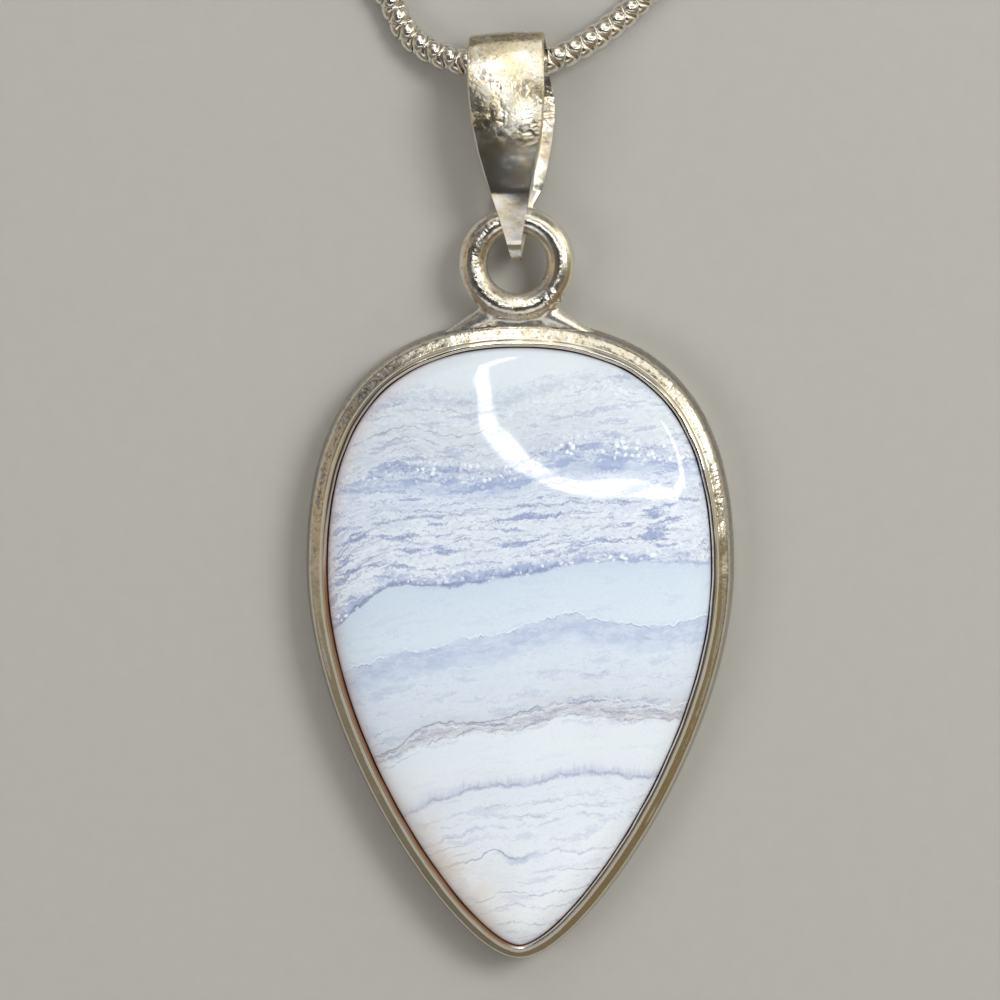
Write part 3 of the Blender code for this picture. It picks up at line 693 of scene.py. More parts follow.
def silver_finish(name, roughness, wear, dull, warm):
    """Silver: wear sets the depth of its scratches, dull its satin patches, warm its tarnish.

    Four numbers on the mesh change it from place to place: polish takes the wear away, brushed makes
    it satin, the darkening number darkens the top of the bail's fold and paints a dark reflection on the
    collar's outer wall, and seam turns it into the dark line of a joint, and into painted shade on the
    collar's lower-left lip and on the chain's core.
    """
    finish = Finish(name)
    place = finish.place()
    lines = scratches(finish, place, 20, 9.0) + scratches(finish, place, -48, 12.0)
    lines = lines + scratches(finish, place, 75, 8.0)
    patches = finish.noise(place, 0.9, 3.0, 0.6)
    pits = finish.noise(place, 2.8, 1.5, 0.5)
    rough_here = 1 - finish.attribute("polish")
    aged_and_shade = finish.attribute("aged_and_shade")
    seam = finish.attribute("seam")
    satin = patches.rise(0.62 - dull * 0.4, 0.80 - dull * 0.3)
    sheen = satin * rough_here * 0.14 + pits.rise(0.5, 0.8) * 0.05 + roughness + aged_and_shade * 0.08
    sheen = sheen + finish.attribute("brushed") * 0.25
    tarnish = finish.noise(place, 0.7, 4.0, 0.6).rise(0.36, 0.64) * warm
    colour = finish.mix(tarnish, SILVER_WHITE, SILVER_WARM)
    grime = (1 - finish.noise(place, 3.6, 3.0, 0.6).rise(0.34, 0.50)) * rough_here * (wear * 0.50)
    # Grime is dirt on the metal; the darkening number adds a painted dark reflection on the collar's outer
    # wall, and seam adds the joint's brown, which is painted shade on the lower-left lip and the chain's
    # core.
    colour = finish.mix((aged_and_shade + grime).clamp(), colour, SILVER_GRIME_AND_SHADE)
    colour = finish.mix(seam, colour, SEAM_AND_SHADE_BROWN)
    height = (lines * 0.005 + pits * 0.026 + patches * 0.06) * wear * (rough_here * 0.92 + 0.08)
    return finish.set(Base_Color=colour, Metallic=1 - seam * 0.7, Roughness=(sheen + seam * 0.4).clamp(),
                      Normal=finish.relief(height))


POLISHED = silver_finish("polished_silver", 0.08, 1.0, 0.45, 0.40)
BAIL_SATIN = silver_finish("bail_silver", 0.15, 0.65, 0.6, 0.85)
CHAIN_BRIGHT = silver_finish("chain_silver", 0.14, 0.15, 0.1, 0.10)
print("silver finishes:", POLISHED.name, BAIL_SATIN.name, CHAIN_BRIGHT.name)

# %% [markdown]
# Most pieces are skins over a stack of rings: the stone, the collar, the plate. One helper lays
# quads between rings of equal count and closes the ends, so the faces run round the piece, and
# smooth shading then follows the metal as a polishing wheel would.

# %% Helpers that make a piece
def skin(rows, closed=False, pole_top=None, pole_bottom=None):
    """Lays faces between rings; a pole closes an end to a point, closed joins the last to the first."""
    work = bmesh.new()
    rings = [[work.verts.new(point) for point in row] for row in rows]
    count = len(rings[0])
    pairs = list(zip(rings, rings[1:]))
    if closed:
        pairs.append((rings[-1], rings[0]))
    for low, high in pairs:
        for index in range(count):
            after = (index + 1) % count
            work.faces.new((low[index], low[after], high[after], high[index]))
    for ring, pole in ((rings[0], pole_bottom), (rings[-1], pole_top)):
        if pole is not None:
            end = work.verts.new(pole)
            for index in range(count):
                work.faces.new((ring[index], ring[(index + 1) % count], end))
    bmesh.ops.recalc_face_normals(work, faces=work.faces)
    return work


def mesh_of(name, work):
    """Turns a mesh that is worked on in mm into a finished one in metres."""
    work.verts.index_update()
    bmesh.ops.scale(work, vec=(MM, MM, MM), verts=work.verts)
    mesh = bpy.data.meshes.new(name)
    work.to_mesh(mesh)
    work.free()
    return mesh


def piece(name, work, material, smooth_angle=40):
    """Makes a finished object of a mesh in mm, at the origin and in metres."""
    return piece_of_mesh(name, mesh_of(name, work), material, smooth_angle)


def piece_of_mesh(name, mesh, material, smooth_angle=40):
    """Puts a mesh in the scene as a piece, shaded smooth except at its hard edges."""
    mesh.name = name
    mesh.shade_smooth()
    mesh.set_sharp_from_angle(angle=math.radians(smooth_angle))
    mesh.materials.clear()
    mesh.materials.append(material)
    made = bpy.data.objects.new(name, mesh)
    bpy.context.scene.collection.objects.link(made)
    print(name, "faces:", len(mesh.polygons))
    return made


def mark(made, name, numbers):
    """Keeps a number at each point of a piece, for its finish to read."""
    layer = made.data.attributes.new(name, "FLOAT", "POINT")
    layer.data.foreach_set("value", numbers)


def lift(points, height):
    """Moves an outline to a height."""
    return [Vector((point.x, point.y, height)) for point in points]


# %% [markdown]
# The stone is a low cabochon. Its girdle stands upright under the lip, and the dome above follows
# an ellipse. The rings shrink towards a place a little above the middle, so the dome keeps the
# teardrop's shape all the way up. Hand polishing leaves it very slightly uneven, which is what
# makes a reflection on it waver.

# %% The stone
SEAT_Z = 0.95
GIRDLE_Z = 3.00
DOME_Z = 5.30
DOME_CENTRE = Vector((0, 2.0, 0))
DOME_RINGS = 44
DOME_FULLNESS = 0.85
UNEVEN = 0.035
STONE_EDGE = -0.03
FOOT_EDGE = STONE_EDGE - 0.2


def dip(point):
    """How far the hand-polished dome lies under the true one at a place."""
    return UNEVEN * (0.5 + noise.noise(point * 0.22))


def stone_piece():
    """The agate, with the share of the way to its rim kept at each point."""
    edge = rim(EDGE, NORMALS, STONE_EDGE)
    rows = [lift(rim(EDGE, NORMALS, FOOT_EDGE), SEAT_Z), lift(edge, SEAT_Z + 0.3)]
    shares = [1.0, 1.0]
    for step in range(DOME_RINGS):
        turned = math.radians(90) * step / DOME_RINGS
        width = math.cos(turned) ** DOME_FULLNESS
        height = GIRDLE_Z + (DOME_Z - GIRDLE_Z) * math.sin(turned)
        above_girdle = min(1.0, 4 * math.sin(turned))
        row = [DOME_CENTRE + (point - DOME_CENTRE) * width for point in edge]
        rows.append([Vector((point.x, point.y, height - dip(point) * above_girdle)) for point in row])
        shares.append(width)
    top = DOME_CENTRE + Vector((0, 0, DOME_Z - dip(DOME_CENTRE)))
    under = DOME_CENTRE + Vector((0, 0, SEAT_Z))
    made = piece("agate_stone", skin(rows, pole_top=top, pole_bottom=under), AGATE)
    mark(made, "rim", [share for share in shares for point in edge] + [1.0, 0.0])
    return made


stone = stone_piece()
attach(stone, "pendant")
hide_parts("agate")

# %% [markdown]
# The bezel is a strip of silver stood on edge round the stone. Its outer wall leans in, and its thin
# lip was pushed down over the girdle by hand, so the lip's width wanders. The profile is a short
# list of corners, rounded by the same smooth curve as the chain's route. The wall that faces the
# stone is marked as the seam: polish and dirt gather there, and it reads as a fine dark line. The
# lip's inner edge on the lower left takes the same dark colour as painted shade, and the outer wall
# below the lip is darkened as a painted dark reflection.

# %% The bezel
COLLAR = [(0.965, 0.83), (0.99, 0.95), (0.99, 1.35), (0.97, 1.62), (0.92, 2.05), (0.85, 2.45), (0.79, 2.72),
          (0.72, 2.88), (0.64, 2.95), (0.47, 3.05), (0.33, 3.17), (0.26, 3.31), (0.17, 3.42), (0.09, 3.42),
          (0.03, 3.37)]
SEAM_WALL = [(0.005, 3.28), (0.0, 3.05), (0.0, 0.90), (0.10, 0.83)]


HAND_PUSH = 0.05


def collar_rows(levels):
    """The rings of the collar, with the lip pushed and the wall dented as by hand."""
    rows = []
    for outwards, height in levels:
        on_lip = ease((height - 2.6) / 0.7) * ease(1 - outwards * 2.2)
        on_face = ease((height - 1.2) / 0.5) * ease((1 - outwards) * 6)
        row = []
        for index, point in enumerate(rim(EDGE, NORMALS, outwards)):
            push = HAND_PUSH * on_lip * noise.noise(EDGE[index] * 0.55 + Vector((7, 0, 0)))
            dent = HAND_PUSH * on_face * noise.noise(point * 0.8)
            row.append(point + NORMALS[index] * push + Vector((0, 0, height + dent)))
        rows.append(row)
    return rows


def collar_piece():
    """The collar. Its finish is told where the seam runs, where it is polished, where its outer wall is
    darkened as a painted dark reflection, and where its lower-left lip is darkened as painted shade.
    """
    profile = smooth_line([Vector((outwards, height, 0)) for outwards, height in COLLAR], 4)
    levels = [(point.x, point.y) for point in profile] + SEAM_WALL
    made = piece("bezel_collar", skin(collar_rows(levels), closed=True), POLISHED, 55)
    around = range(len(EDGE))
    # Painted shade: on the lower left, where the shadow falls, the lip's inner edge is darkened like the
    # seam.
    painted_shade_left = [ease(-normal.x * 2) * ease((9 - point.y) / 6) for point, normal in zip(EDGE, NORMALS)]
    smooth = [0.8 * ease((9 - point.y) / 8) for point in EDGE]
    seam, polish, aged_and_shade = [], [], []
    for ring, (outwards, height) in enumerate(levels):
        on_wall = ring >= len(profile)
        dark_lip = ease((0.17 - outwards) / 0.06)
        seam += [1.0 if on_wall else dark_lip * painted_shade_left[index] for index in around]
        polish += [max(ease((0.38 - outwards) / 0.1), smooth[index]) for index in around]
        # Painted dark reflection: the outer wall below the lip, and a little of the outer collar, are
        # darkened.
        aged_and_shade += [0.68 * ease((2.85 - height) / 0.4) + 0.14 * ease((outwards - 0.30) / 0.1)] * len(EDGE)
    mark(made, "seam", seam)
    mark(made, "polish", polish)
    mark(made, "aged_and_shade", aged_and_shade)
    return made


collar = collar_piece()
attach(collar, "pendant")
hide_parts("bezel")

# %% [markdown]
# The back plate is plain sheet, sawn to the collar's outline and filed flush. Its edges are eased,
# and it meets the collar in a hairline, as a soldered joint does.

# %% The back plate
PLATE = [(0.90, 0.0), (0.96, 0.02), (0.99, 0.07), (1.0, 0.14), (1.0, 0.72), (0.99, 0.78), (0.96, 0.80)]


def plate_piece():
    """The plate, closed above and below by faces that run to its middle."""
    rows = [lift(rim(EDGE, NORMALS, outwards), height) for outwards, height in PLATE]
    bottom = Vector((0, 2.0, 0))
    top = Vector((0, 2.0, PLATE[-1][1]))
    return piece("back_sheet", skin(rows, pole_top=top, pole_bottom=bottom), POLISHED, 40)


plate = plate_piece()
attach(plate, "pendant")
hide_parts("back_plate")

# %% [markdown]
# The hanging loop is a ring of thick wire, and solder has run into the corner between it and the
# collar. Solder has no edges: it flows. So the ring and a few beads of metal are melted together
# with a voxel remesh, and a smoothing pass pulls the surface tight, as surface tension does.

# %% The hanging loop
LOOP_CENTRE = Vector((-0.15, 22.60, 2.40))
LOOP_RADIUS = 2.60
LOOP_WIRE = 0.85
SOLDER = [((0.0, 19.05, 2.00), (2.60, 0.95, 0.80)), ((1.2, 19.75, 2.10), (1.05, 0.85, 0.75)),
          ((-1.2, 19.75, 2.10), (1.05, 0.85, 0.75))]
FILLET_BEADS = 12
for bead in range(FILLET_BEADS):
    run = bead / (FILLET_BEADS - 1)
    for side in (-1, 1):
        SOLDER.append(((side * (1.65 + 2.30 * run), 19.60 - 1.28 * run, 2.10 - 0.12 * run),
                       (0.80, 0.80 - 0.54 * run, 0.74 - 0.34 * run)))
GRANULES = [((1.98, 20.86, 3.00), 0.30), ((1.60, 20.45, 3.03), 0.27), ((2.30, 20.50, 2.70), 0.28),
            ((1.30, 20.12, 2.90), 0.20)]
VOXEL = 0.07
SOLDER_SMOOTHING = 40
GRANULE_SMOOTHING = 2


def ring_work(centre, radius, wire, around, across, axis="Z"):
    """A ring of round wire as a mesh in mm, flat in XY or upright."""
    rows = []
    for step in range(around):
        turned = math.tau * step / around
        outwards = Vector((math.cos(turned), math.sin(turned), 0))
        row = []
        for side in range(across):
            angle = math.tau * side / across
            row.append(outwards * (radius + wire * math.cos(angle)) + Vector((0, 0, wire * math.sin(angle))))
        rows.append(row)
    if axis == "Y":
        rows = [[Vector((point.x, point.z, point.y)) for point in row] for row in rows]
    rows = [[point + centre for point in row] for row in rows]
    return skin(rows, closed=True)


def melted(work, smoothing):
    """Melts the bodies of a mesh in mm into one with a voxel remesh and smooths it."""
    item = bpy.data.objects.new("melting", mesh_of("melting", work))
    bpy.context.scene.collection.objects.link(item)
    remesh = item.modifiers.new("melt", "REMESH")
    remesh.mode = "VOXEL"
    remesh.voxel_size = VOXEL * MM
    smooth = item.modifiers.new("tighten", "SMOOTH")
    smooth.iterations = smoothing
    smooth.factor = 0.5
    seen = item.evaluated_get(bpy.context.evaluated_depsgraph_get())
    result = bpy.data.meshes.new_from_object(seen)
    bpy.data.objects.remove(item, do_unlink=True)
    flowed = bmesh.new()
    flowed.from_mesh(result)
    bpy.data.meshes.remove(result)
    bmesh.ops.scale(flowed, vec=(1 / MM, 1 / MM, 1 / MM), verts=flowed.verts)
    return flowed


def loop_piece():
    """The ring and its solder, melted into one. The granules go on last, so they keep their shape."""
    work = ring_work(LOOP_CENTRE, LOOP_RADIUS, LOOP_WIRE, 72, 28)
    for centre, radii in SOLDER:
        place = Matrix.Translation(centre) @ Matrix.Diagonal((*radii, 1))
        bmesh.ops.create_icosphere(work, subdivisions=3, radius=1.0, matrix=place)
    flowed = melted(work, SOLDER_SMOOTHING)
    for centre, radius in GRANULES:
        bmesh.ops.create_icosphere(flowed, subdivisions=3, radius=radius, matrix=Matrix.Translation(centre))
    made = piece("loop_and_solder", melted(flowed, GRANULE_SMOOTHING), POLISHED, 180)
    places = [vertex.co / MM for vertex in made.data.vertices]
    inside = [place - LOOP_CENTRE for place in places]
    mark(made, "polish", [0.2 + 0.45 * ease(place.x * 0.3 + 0.3) for place in places])
    mark(made, "brushed", [0.30 + 0.45 * ease(20.4 - place.y) for place in places])
    mark(made, "seam", [0.32 * ease((LOOP_RADIUS - 0.35 - out.xy.length) / 0.3) * ease(-out.y - 0.3)
                        for out in inside])
    return made


loop = loop_piece()
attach(loop, "pendant")
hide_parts("hanging_loop")

# %% [markdown]
# The bail is one strip of sheet, folded over the chain, with both legs tapering to a blunt soldered
# tip. It is swept: a rounded rectangle travels along the side view of the strip, and its width
# follows the front view. The sheet keeps one thickness, its edges are broken with a file, and the
# face is a little crowned.

# %% The bail
WIRE_PLACE = Vector((-0.27, 25.20, 2.40))
BAIL_SHEET = 0.52
BAIL_LEAN = math.radians(2.6)
BAIL_ROLL = math.radians(-4.0)
BAIL_WIDTHS = [(-2.5, 0.20), (-1.8, 0.34), (-0.9, 0.54), (0.0, 0.76), (1.6, 1.18), (2.7, 1.48), (4.0, 1.80),
               (5.8, 2.10), (7.4, 2.22), (9.7, 2.25), (10.9, 2.20)]
BAIL_BENDS = [(-2.28, 0.18), (-2.06, 0.34), (-1.46, 0.86), (-1.36, 0.92), (1.50, 1.70), (1.66, 1.735)]
BAIL_LEG = [(1.66, 1.735), (3.4, 1.79), (5.2, 1.82), (6.3, 1.82), (7.3, 1.77), (8.3, 1.62), (9.2, 1.32),
            (9.95, 0.86), (10.42, 0.33), (10.62, 0.0)]
BEND_STEP = 0.22
LEG_STEPS = 10
BAIL_CROWN = 0.11
FRONT_TWIST = 0.11
BACK_SHIFT = 0.34
WIDEST_HALF = 2.2
FILED = 0.96
SIDE_THICKNESS = 0.72
EASED_FILED = 0.60
EASED_SIDE = 0.25
EASED_BELOW = 0.9


def sheet_section(eased_left, eased_right):
    """A rectangle with filed edges, as shares of the half width and half thickness of the sheet.

    An eased side has lost more of its inner edge, which gives the wire room to swing.
    """
    section = [(-FILED, 1.0)] + [(-1 + 2 * step / 8, 1.0) for step in range(1, 8)] + [(FILED, 1.0)]
    section += [(1.0, SIDE_THICKNESS), (1.0, -EASED_SIDE if eased_right else -SIDE_THICKNESS)]
    section += [(EASED_FILED if eased_right else FILED, -1.0), (0.5, -1.0), (0.0, -1.0), (-0.5, -1.0)]
    section += [(-EASED_FILED if eased_left else -FILED, -1.0)]
    return section + [(-1.0, -EASED_SIDE if eased_left else -SIDE_THICKNESS), (-1.0, SIDE_THICKNESS)]


def bail_half_width(along):
    """Reads the width of the strip at a height along the bail."""
    for (low, narrow), (high, wide) in zip(BAIL_WIDTHS, BAIL_WIDTHS[1:]):
        if along <= high:
            return narrow + (wide - narrow) * min(max((along - low) / (high - low), 0), 1)
    return BAIL_WIDTHS[-1][1]


def bail_line():
    """The middle of the sheet in side view, up the front leg, over the fold and down the back."""
    front = []
    for (low, shallow), (high, deep) in zip(BAIL_BENDS, BAIL_BENDS[1:]):
        steps = max(2, round((high - low) / BEND_STEP))
        front += [Vector((low + (high - low) * step / steps, shallow + (deep - shallow) * step / steps, 0))
                  for step in range(steps)]
    leg = [Vector((along, deep, 0)) for along, deep in BAIL_LEG]
    over = Vector((BAIL_LEG[-2][0], -BAIL_LEG[-2][1], 0))
    front += smooth_line(leg + [over], LEG_STEPS)[:-LEG_STEPS]
    back = [Vector((point.x, -point.y, 0)) for point in reversed(front[:-1])]
    return front + back


def bail_row(point, along, in_front):
    """One ring of the strip: the sheet's section, set across the line and shifted as the real one is."""
    out = Vector((-along.y, along.x, 0))
    half = bail_half_width(point.x)
    share = half / WIDEST_HALF
    near_wire = point.x < EASED_BELOW
    clear = ease((point.x - 0.75) / 1.1)
    behind = BACK_SHIFT * ease((0.9 - point.y) / 2.2) * clear * ease((8.8 - point.x) / 2.4)
    row = []
    for across, thick in sheet_section(near_wire, near_wire or not in_front):
        crown = BAIL_CROWN * (1 - across * across) * share if thick > 0 else 0.0
        twist = FRONT_TWIST * across * share * clear if in_front else 0.0
        offset = thick * BAIL_SHEET / 2 + crown
        row.append(Vector((across * half + behind, point.x + out.x * offset,
                           point.y + out.y * offset - twist * ease(point.y / 1.5))))
    return row


def bail_piece():
    """Sweeps the sheet's section along the strip and turns it to hang as it does."""
    line = bail_line()
    rows = []
    for index, point in enumerate(line):
        before = line[max(index - 1, 0)]
        after = line[min(index + 1, len(line) - 1)]
        rows.append(bail_row(point, (after - before).normalized(), index < len(line) / 2))
    ends = [sum(row, Vector((0, 0, 0))) / len(row) for row in (rows[0], rows[-1])]
    work = skin(rows, pole_bottom=ends[0], pole_top=ends[1])
    lean = Matrix.Rotation(BAIL_LEAN, 4, "Z") @ Matrix.Rotation(BAIL_ROLL, 4, "Y")
    place = Matrix.Translation(WIRE_PLACE) @ lean
    bmesh.ops.transform(work, matrix=place, verts=work.verts)
    made = piece("bail_strip", work, BAIL_SATIN, 35)
    turned_back = place.inverted()
    heights = [(turned_back @ (vertex.co / MM)).y for vertex in made.data.vertices]
    mark(made, "polish", [0.9 - 0.85 * ease((along - 3.6) / 2.4) for along in heights])
    mark(made, "aged_and_shade", [0.22 * ease((along - 9.0) / 1.2) for along in heights])
    return made


bail = bail_piece()
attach(bail, "bail_and_chain")
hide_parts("bail")

# %% [markdown]
# A snake chain is a row of short bands, each bent like a saddle, so that its lobes reach under the
# next one. One band is made once. Geometry Nodes then sets a copy at every step of the path, turns
# every second one by a quarter, and adds a dark core between them, which is painted shade. Doing
# it in nodes keeps the count, the pitch and the band in separate hands.

# %% One band of the chain
LINK_PITCH = 0.535
BAND_SIDES = 18
BAND_SECTION = [(-1.0, 0.74), (-0.84, 0.91), (-0.34, 0.99), (0.34, 0.99), (0.84, 0.91), (1.0, 0.74)]
BAND_HALF_WIDTH = 0.285
LOBE = 0.150
WAIST = 0.055
SLANT = 0.085
LAY_OF_LOBES = math.radians(108)
CORE_SHARE = 0.36
CORE_SHADE = 0.8
CORE_SIDES = 8
CORE_STEP = 0.8


def band_mesh():
    """A saddle-shaped band about Z, in metres."""
    rows = []
    for side in range(BAND_SIDES):
        angle = math.tau * side / BAND_SIDES
        lobe = min(max(1.5 * math.cos(2 * angle), -1), 1)
        row = []
        for along, out in BAND_SECTION:
            radius = CHAIN_DIAMETER / 2 * (out - WAIST + WAIST * lobe)
            row.append(Vector((radius * math.cos(angle), radius * math.sin(angle),
                               along * (BAND_HALF_WIDTH + LOBE * lobe) + SLANT * math.sin(2 * angle))))
        rows.append(row)
    mesh = mesh_of("band", skin(rows, closed=True))
    mesh.shade_smooth()
    mesh.set_sharp_from_angle(angle=math.radians(50))
    return mesh


band = bpy.data.objects.new("band", band_mesh())
print("faces of one band:", len(band.data.polygons))

# %% The node tree that strings the bands
def chain_tree(material):
    """Sets bands along a curve, every second one turned by a quarter, on a dark core of painted shade."""
    tree = bpy.data.node_groups.new("string_bands", "GeometryNodeTree")
    face = tree.interface
    for name, kind in (("Path", "Geometry"), ("Band", "Object"), ("Pitch", "Float"), ("Core radius", "Float"),
                       ("Lay of the lobes", "Float")):
        face.new_socket(name, in_out="INPUT", socket_type="NodeSocket" + kind)
    face.new_socket("Chain", in_out="OUTPUT", socket_type="NodeSocketGeometry")

    def add(kind, settings, links):
        made = tree.nodes.new(kind)
        for name, setting in settings.items():
            setattr(made, name, setting)
        for key, given in links.items():
            if isinstance(given, bpy.types.NodeSocket):
                tree.links.new(given, made.inputs[key])
            else:
                made.inputs[key].default_value = given
        return made

    given = tree.nodes.new("NodeGroupInput").outputs
    to_points = add("GeometryNodeCurveToPoints", {"mode": "LENGTH"},
                    {"Curve": given["Path"], "Length": given["Pitch"]})
    index = add("GeometryNodeInputIndex", {}, {})
    odd = add("ShaderNodeMath", {"operation": "MODULO"}, {0: index.outputs[0], 1: 2.0})
    quarter = add("ShaderNodeMath", {"operation": "MULTIPLY_ADD"},
                  {0: odd.outputs[0], 1: math.pi / 2, 2: given["Lay of the lobes"]})
    spin = add("ShaderNodeCombineXYZ", {}, {"Z": quarter.outputs[0]})
    turned = add("FunctionNodeRotateRotation", {"rotation_space": "LOCAL"},
                 {0: to_points.outputs["Rotation"], 1: spin.outputs[0]})
    shape = add("GeometryNodeObjectInfo", {}, {"Object": given["Band"]})
    bands = add("GeometryNodeInstanceOnPoints", {},
                {"Points": to_points.outputs["Points"], "Instance": shape.outputs["Geometry"],
                 "Rotation": turned.outputs[0]})
    ring = add("GeometryNodeCurvePrimitiveCircle", {},
               {"Resolution": CORE_SIDES, "Radius": given["Core radius"]})
    coarse = add("GeometryNodeResampleCurve", {"mode": "LENGTH"},
                 {"Curve": given["Path"], "Length": CORE_STEP * MM})
    core = add("GeometryNodeCurveToMesh", {}, {"Curve": coarse.outputs[0], "Profile Curve": ring.outputs[0],
                                              "Fill Caps": True})
    # Painted shade: the core takes the dark seam colour, so the gaps between the bands read as shade.
    dark = add("GeometryNodeStoreNamedAttribute", {"data_type": "FLOAT", "domain": "POINT"},
               {"Geometry": core.outputs[0], "Name": "seam", "Value": CORE_SHADE})
    joined = add("GeometryNodeJoinGeometry", {}, {"Geometry": bands.outputs[0]})
    tree.links.new(dark.outputs[0], joined.inputs[0])
    real = add("GeometryNodeRealizeInstances", {}, {"Geometry": joined.outputs[0]})
    dressed = add("GeometryNodeSetMaterial", {}, {"Geometry": real.outputs[0], "Material": material})
    out = tree.nodes.new("NodeGroupOutput")
    tree.links.new(dressed.outputs[0], out.inputs[0])
    return tree


def curve_through(name, points):
    """A plain curve through points given in mm."""
    data = bpy.data.curves.new(name, "CURVE")
    data.dimensions = "3D"
    spline = data.splines.new("POLY")
    spline.points.add(len(points) - 1)
    for target, point in zip(spline.points, points):
        target.co = (*(point * MM), 1)
    made = bpy.data.objects.new(name, data)
    bpy.context.scene.collection.objects.link(made)
    return made


def chain_piece():
    """Runs the tree over the chain's path and keeps the result as a plain mesh."""
    item = curve_through("chain_guide", chain_line)
    modifier = item.modifiers.new("string", "NODES")
    modifier.node_group = chain_tree(CHAIN_BRIGHT)
    sockets = {socket.name: socket.identifier for socket in modifier.node_group.interface.items_tree
               if socket.in_out == "INPUT"}
    modifier[sockets["Band"]] = band
    modifier[sockets["Pitch"]] = LINK_PITCH * MM
    modifier[sockets["Core radius"]] = CHAIN_DIAMETER * CORE_SHARE * MM
    modifier[sockets["Lay of the lobes"]] = LAY_OF_LOBES
    seen = item.evaluated_get(bpy.context.evaluated_depsgraph_get())
    mesh = bpy.data.meshes.new_from_object(seen)
    bpy.data.objects.remove(item, do_unlink=True)
    return piece_of_mesh("snake_chain", mesh, CHAIN_BRIGHT, 50)


chain = chain_piece()
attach(chain, "bail_and_chain")
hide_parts("chain", "chain_coil")

# %% [markdown]
# Both ends of the chain sit in turned caps. Each cap has an upright eye: a plain ring hangs in one
# and a bent wire hook in the other. They are turned, bent and placed as in the solids, with finer
# steps and a pair of grooves on the barrels.

# %% The end caps, the ring and the hook
CAP_LENGTH = 3.60
CAP_SIDES = 36
CAP_FLOOR = 0.4
EYE_RADIUS = 0.95
EYE_WIRE = 0.30
RING_RADIUS = 1.99
HOOK_EYE_RADIUS = 1.20
HOOK_BEND_RADIUS = 1.70
HOOK_LENGTH = 10.98
HOOK_BEND = (math.radians(75), math.radians(-90))
HOOK_BEND_STEPS = 12
HOOK_TIP = [(-2.4, -1.80), (-3.5, -2.10)]
WIRE = 0.345
WIRE_END = 0.6
CAP_PROFILE = [(0.86, 0.0), (1.12, 0.0), (1.20, 0.10), (1.20, 0.40), (1.12, 0.47), (1.20, 0.54),
               (1.20, 0.74), (1.12, 0.81), (1.20, 0.88), (1.20, 2.55), (1.12, 2.90), (0.90, 3.25),
               (0.55, 3.52), (0.30, CAP_LENGTH)]
EYE_MIDDLE = Vector((CAP_LENGTH + EYE_RADIUS - EYE_WIRE, 0, 0))


def level_frame(point, heading, dip=0.0):
    """A place whose X looks along a heading, dipped by an angle."""
    turned = math.atan2(heading.y, heading.x)
    return Matrix.Translation(point) @ Matrix.Rotation(turned, 4, "Z") @ Matrix.Rotation(dip, 4, "Y")


def joined(works):
    """Puts several meshes into the first."""
    first = works[0]
    for other in works[1:]:
        mesh = bpy.data.meshes.new("part")
        other.to_mesh(mesh)
        other.free()
        first.from_mesh(mesh)
        bpy.data.meshes.remove(mesh)
    return first


def cap_piece(name, place):
    """A turned barrel with its eye."""
    turns = [math.tau * side / CAP_SIDES for side in range(CAP_SIDES)]
    rows = [[Vector((along, radius * math.cos(turned), radius * math.sin(turned))) for turned in turns]
            for radius, along in CAP_PROFILE]
    barrel = skin(rows, pole_bottom=Vector((CAP_FLOOR, 0, 0)), pole_top=Vector((CAP_LENGTH, 0, 0)))
    work = joined([barrel, ring_work(EYE_MIDDLE, EYE_RADIUS, EYE_WIRE, 40, 14, "Y")])
    bmesh.ops.transform(work, matrix=place, verts=work.verts)
    return piece(name, work, CHAIN_BRIGHT, 30)


def hang(work, place, reach):
    """Moves a mesh into the eye of a cap and dips it until its far end, at a reach, is on the table."""
    dipped = math.asin((CAP_Z - WIRE) / reach)
    heading = place.to_3x3() @ Vector((1, 0, 0))
    bmesh.ops.transform(work, matrix=level_frame(place @ EYE_MIDDLE, heading, dipped), verts=work.verts)


def wire_work(points, radius, sides=16):
    """Round wire along points in the XY plane, with rounded ends."""
    rows = []
    for index, point in enumerate(points):
        along = (points[min(index + 1, len(points) - 1)] - points[max(index - 1, 0)]).normalized()
        side = Vector((-along.y, along.x, 0))
        rows.append([point + side * radius * math.cos(math.tau * step / sides)
                     + Vector((0, 0, radius * math.sin(math.tau * step / sides))) for step in range(sides)])
    first = points[0] - (points[1] - points[0]).normalized() * radius * WIRE_END
    last = points[-1] + (points[-1] - points[-2]).normalized() * radius * WIRE_END
    return skin(rows, pole_bottom=first, pole_top=last)


def end_ring_piece(place):
    """The ring, hanging in its cap's eye with its far side on the table."""
    work = ring_work(Vector((RING_RADIUS, 0, 0)), RING_RADIUS, WIRE, 64, 16)
    hang(work, place, 2 * RING_RADIUS)
    return piece("clasp_ring", work, CHAIN_BRIGHT)


def hook_piece(place):
    """The hook: eye, shank and a bend that comes back beside it."""
    bend = HOOK_LENGTH - HOOK_BEND_RADIUS
    points = [Vector((2 * HOOK_EYE_RADIUS - 0.2, 0, 0)), Vector((bend * 0.5, 0, 0)), Vector((bend, 0, 0))]
    start, end = HOOK_BEND
    for step in range(HOOK_BEND_STEPS + 1):
        turned = start + (end - start) * step / HOOK_BEND_STEPS
        points.append(Vector((bend + HOOK_BEND_RADIUS * math.cos(turned),
                              HOOK_BEND_RADIUS * (math.sin(turned) - 1), 0)))
    points += [Vector((bend + back, radii * HOOK_BEND_RADIUS, 0)) for back, radii in HOOK_TIP]
    eye = ring_work(Vector((HOOK_EYE_RADIUS, 0, 0)), HOOK_EYE_RADIUS, WIRE, 48, 16)
    work = joined([eye, wire_work(even_line(smooth_line(points, 8), 0.18), WIRE)])
    hang(work, place, HOOK_LENGTH)
    return piece("clasp_hook", work, CHAIN_BRIGHT)


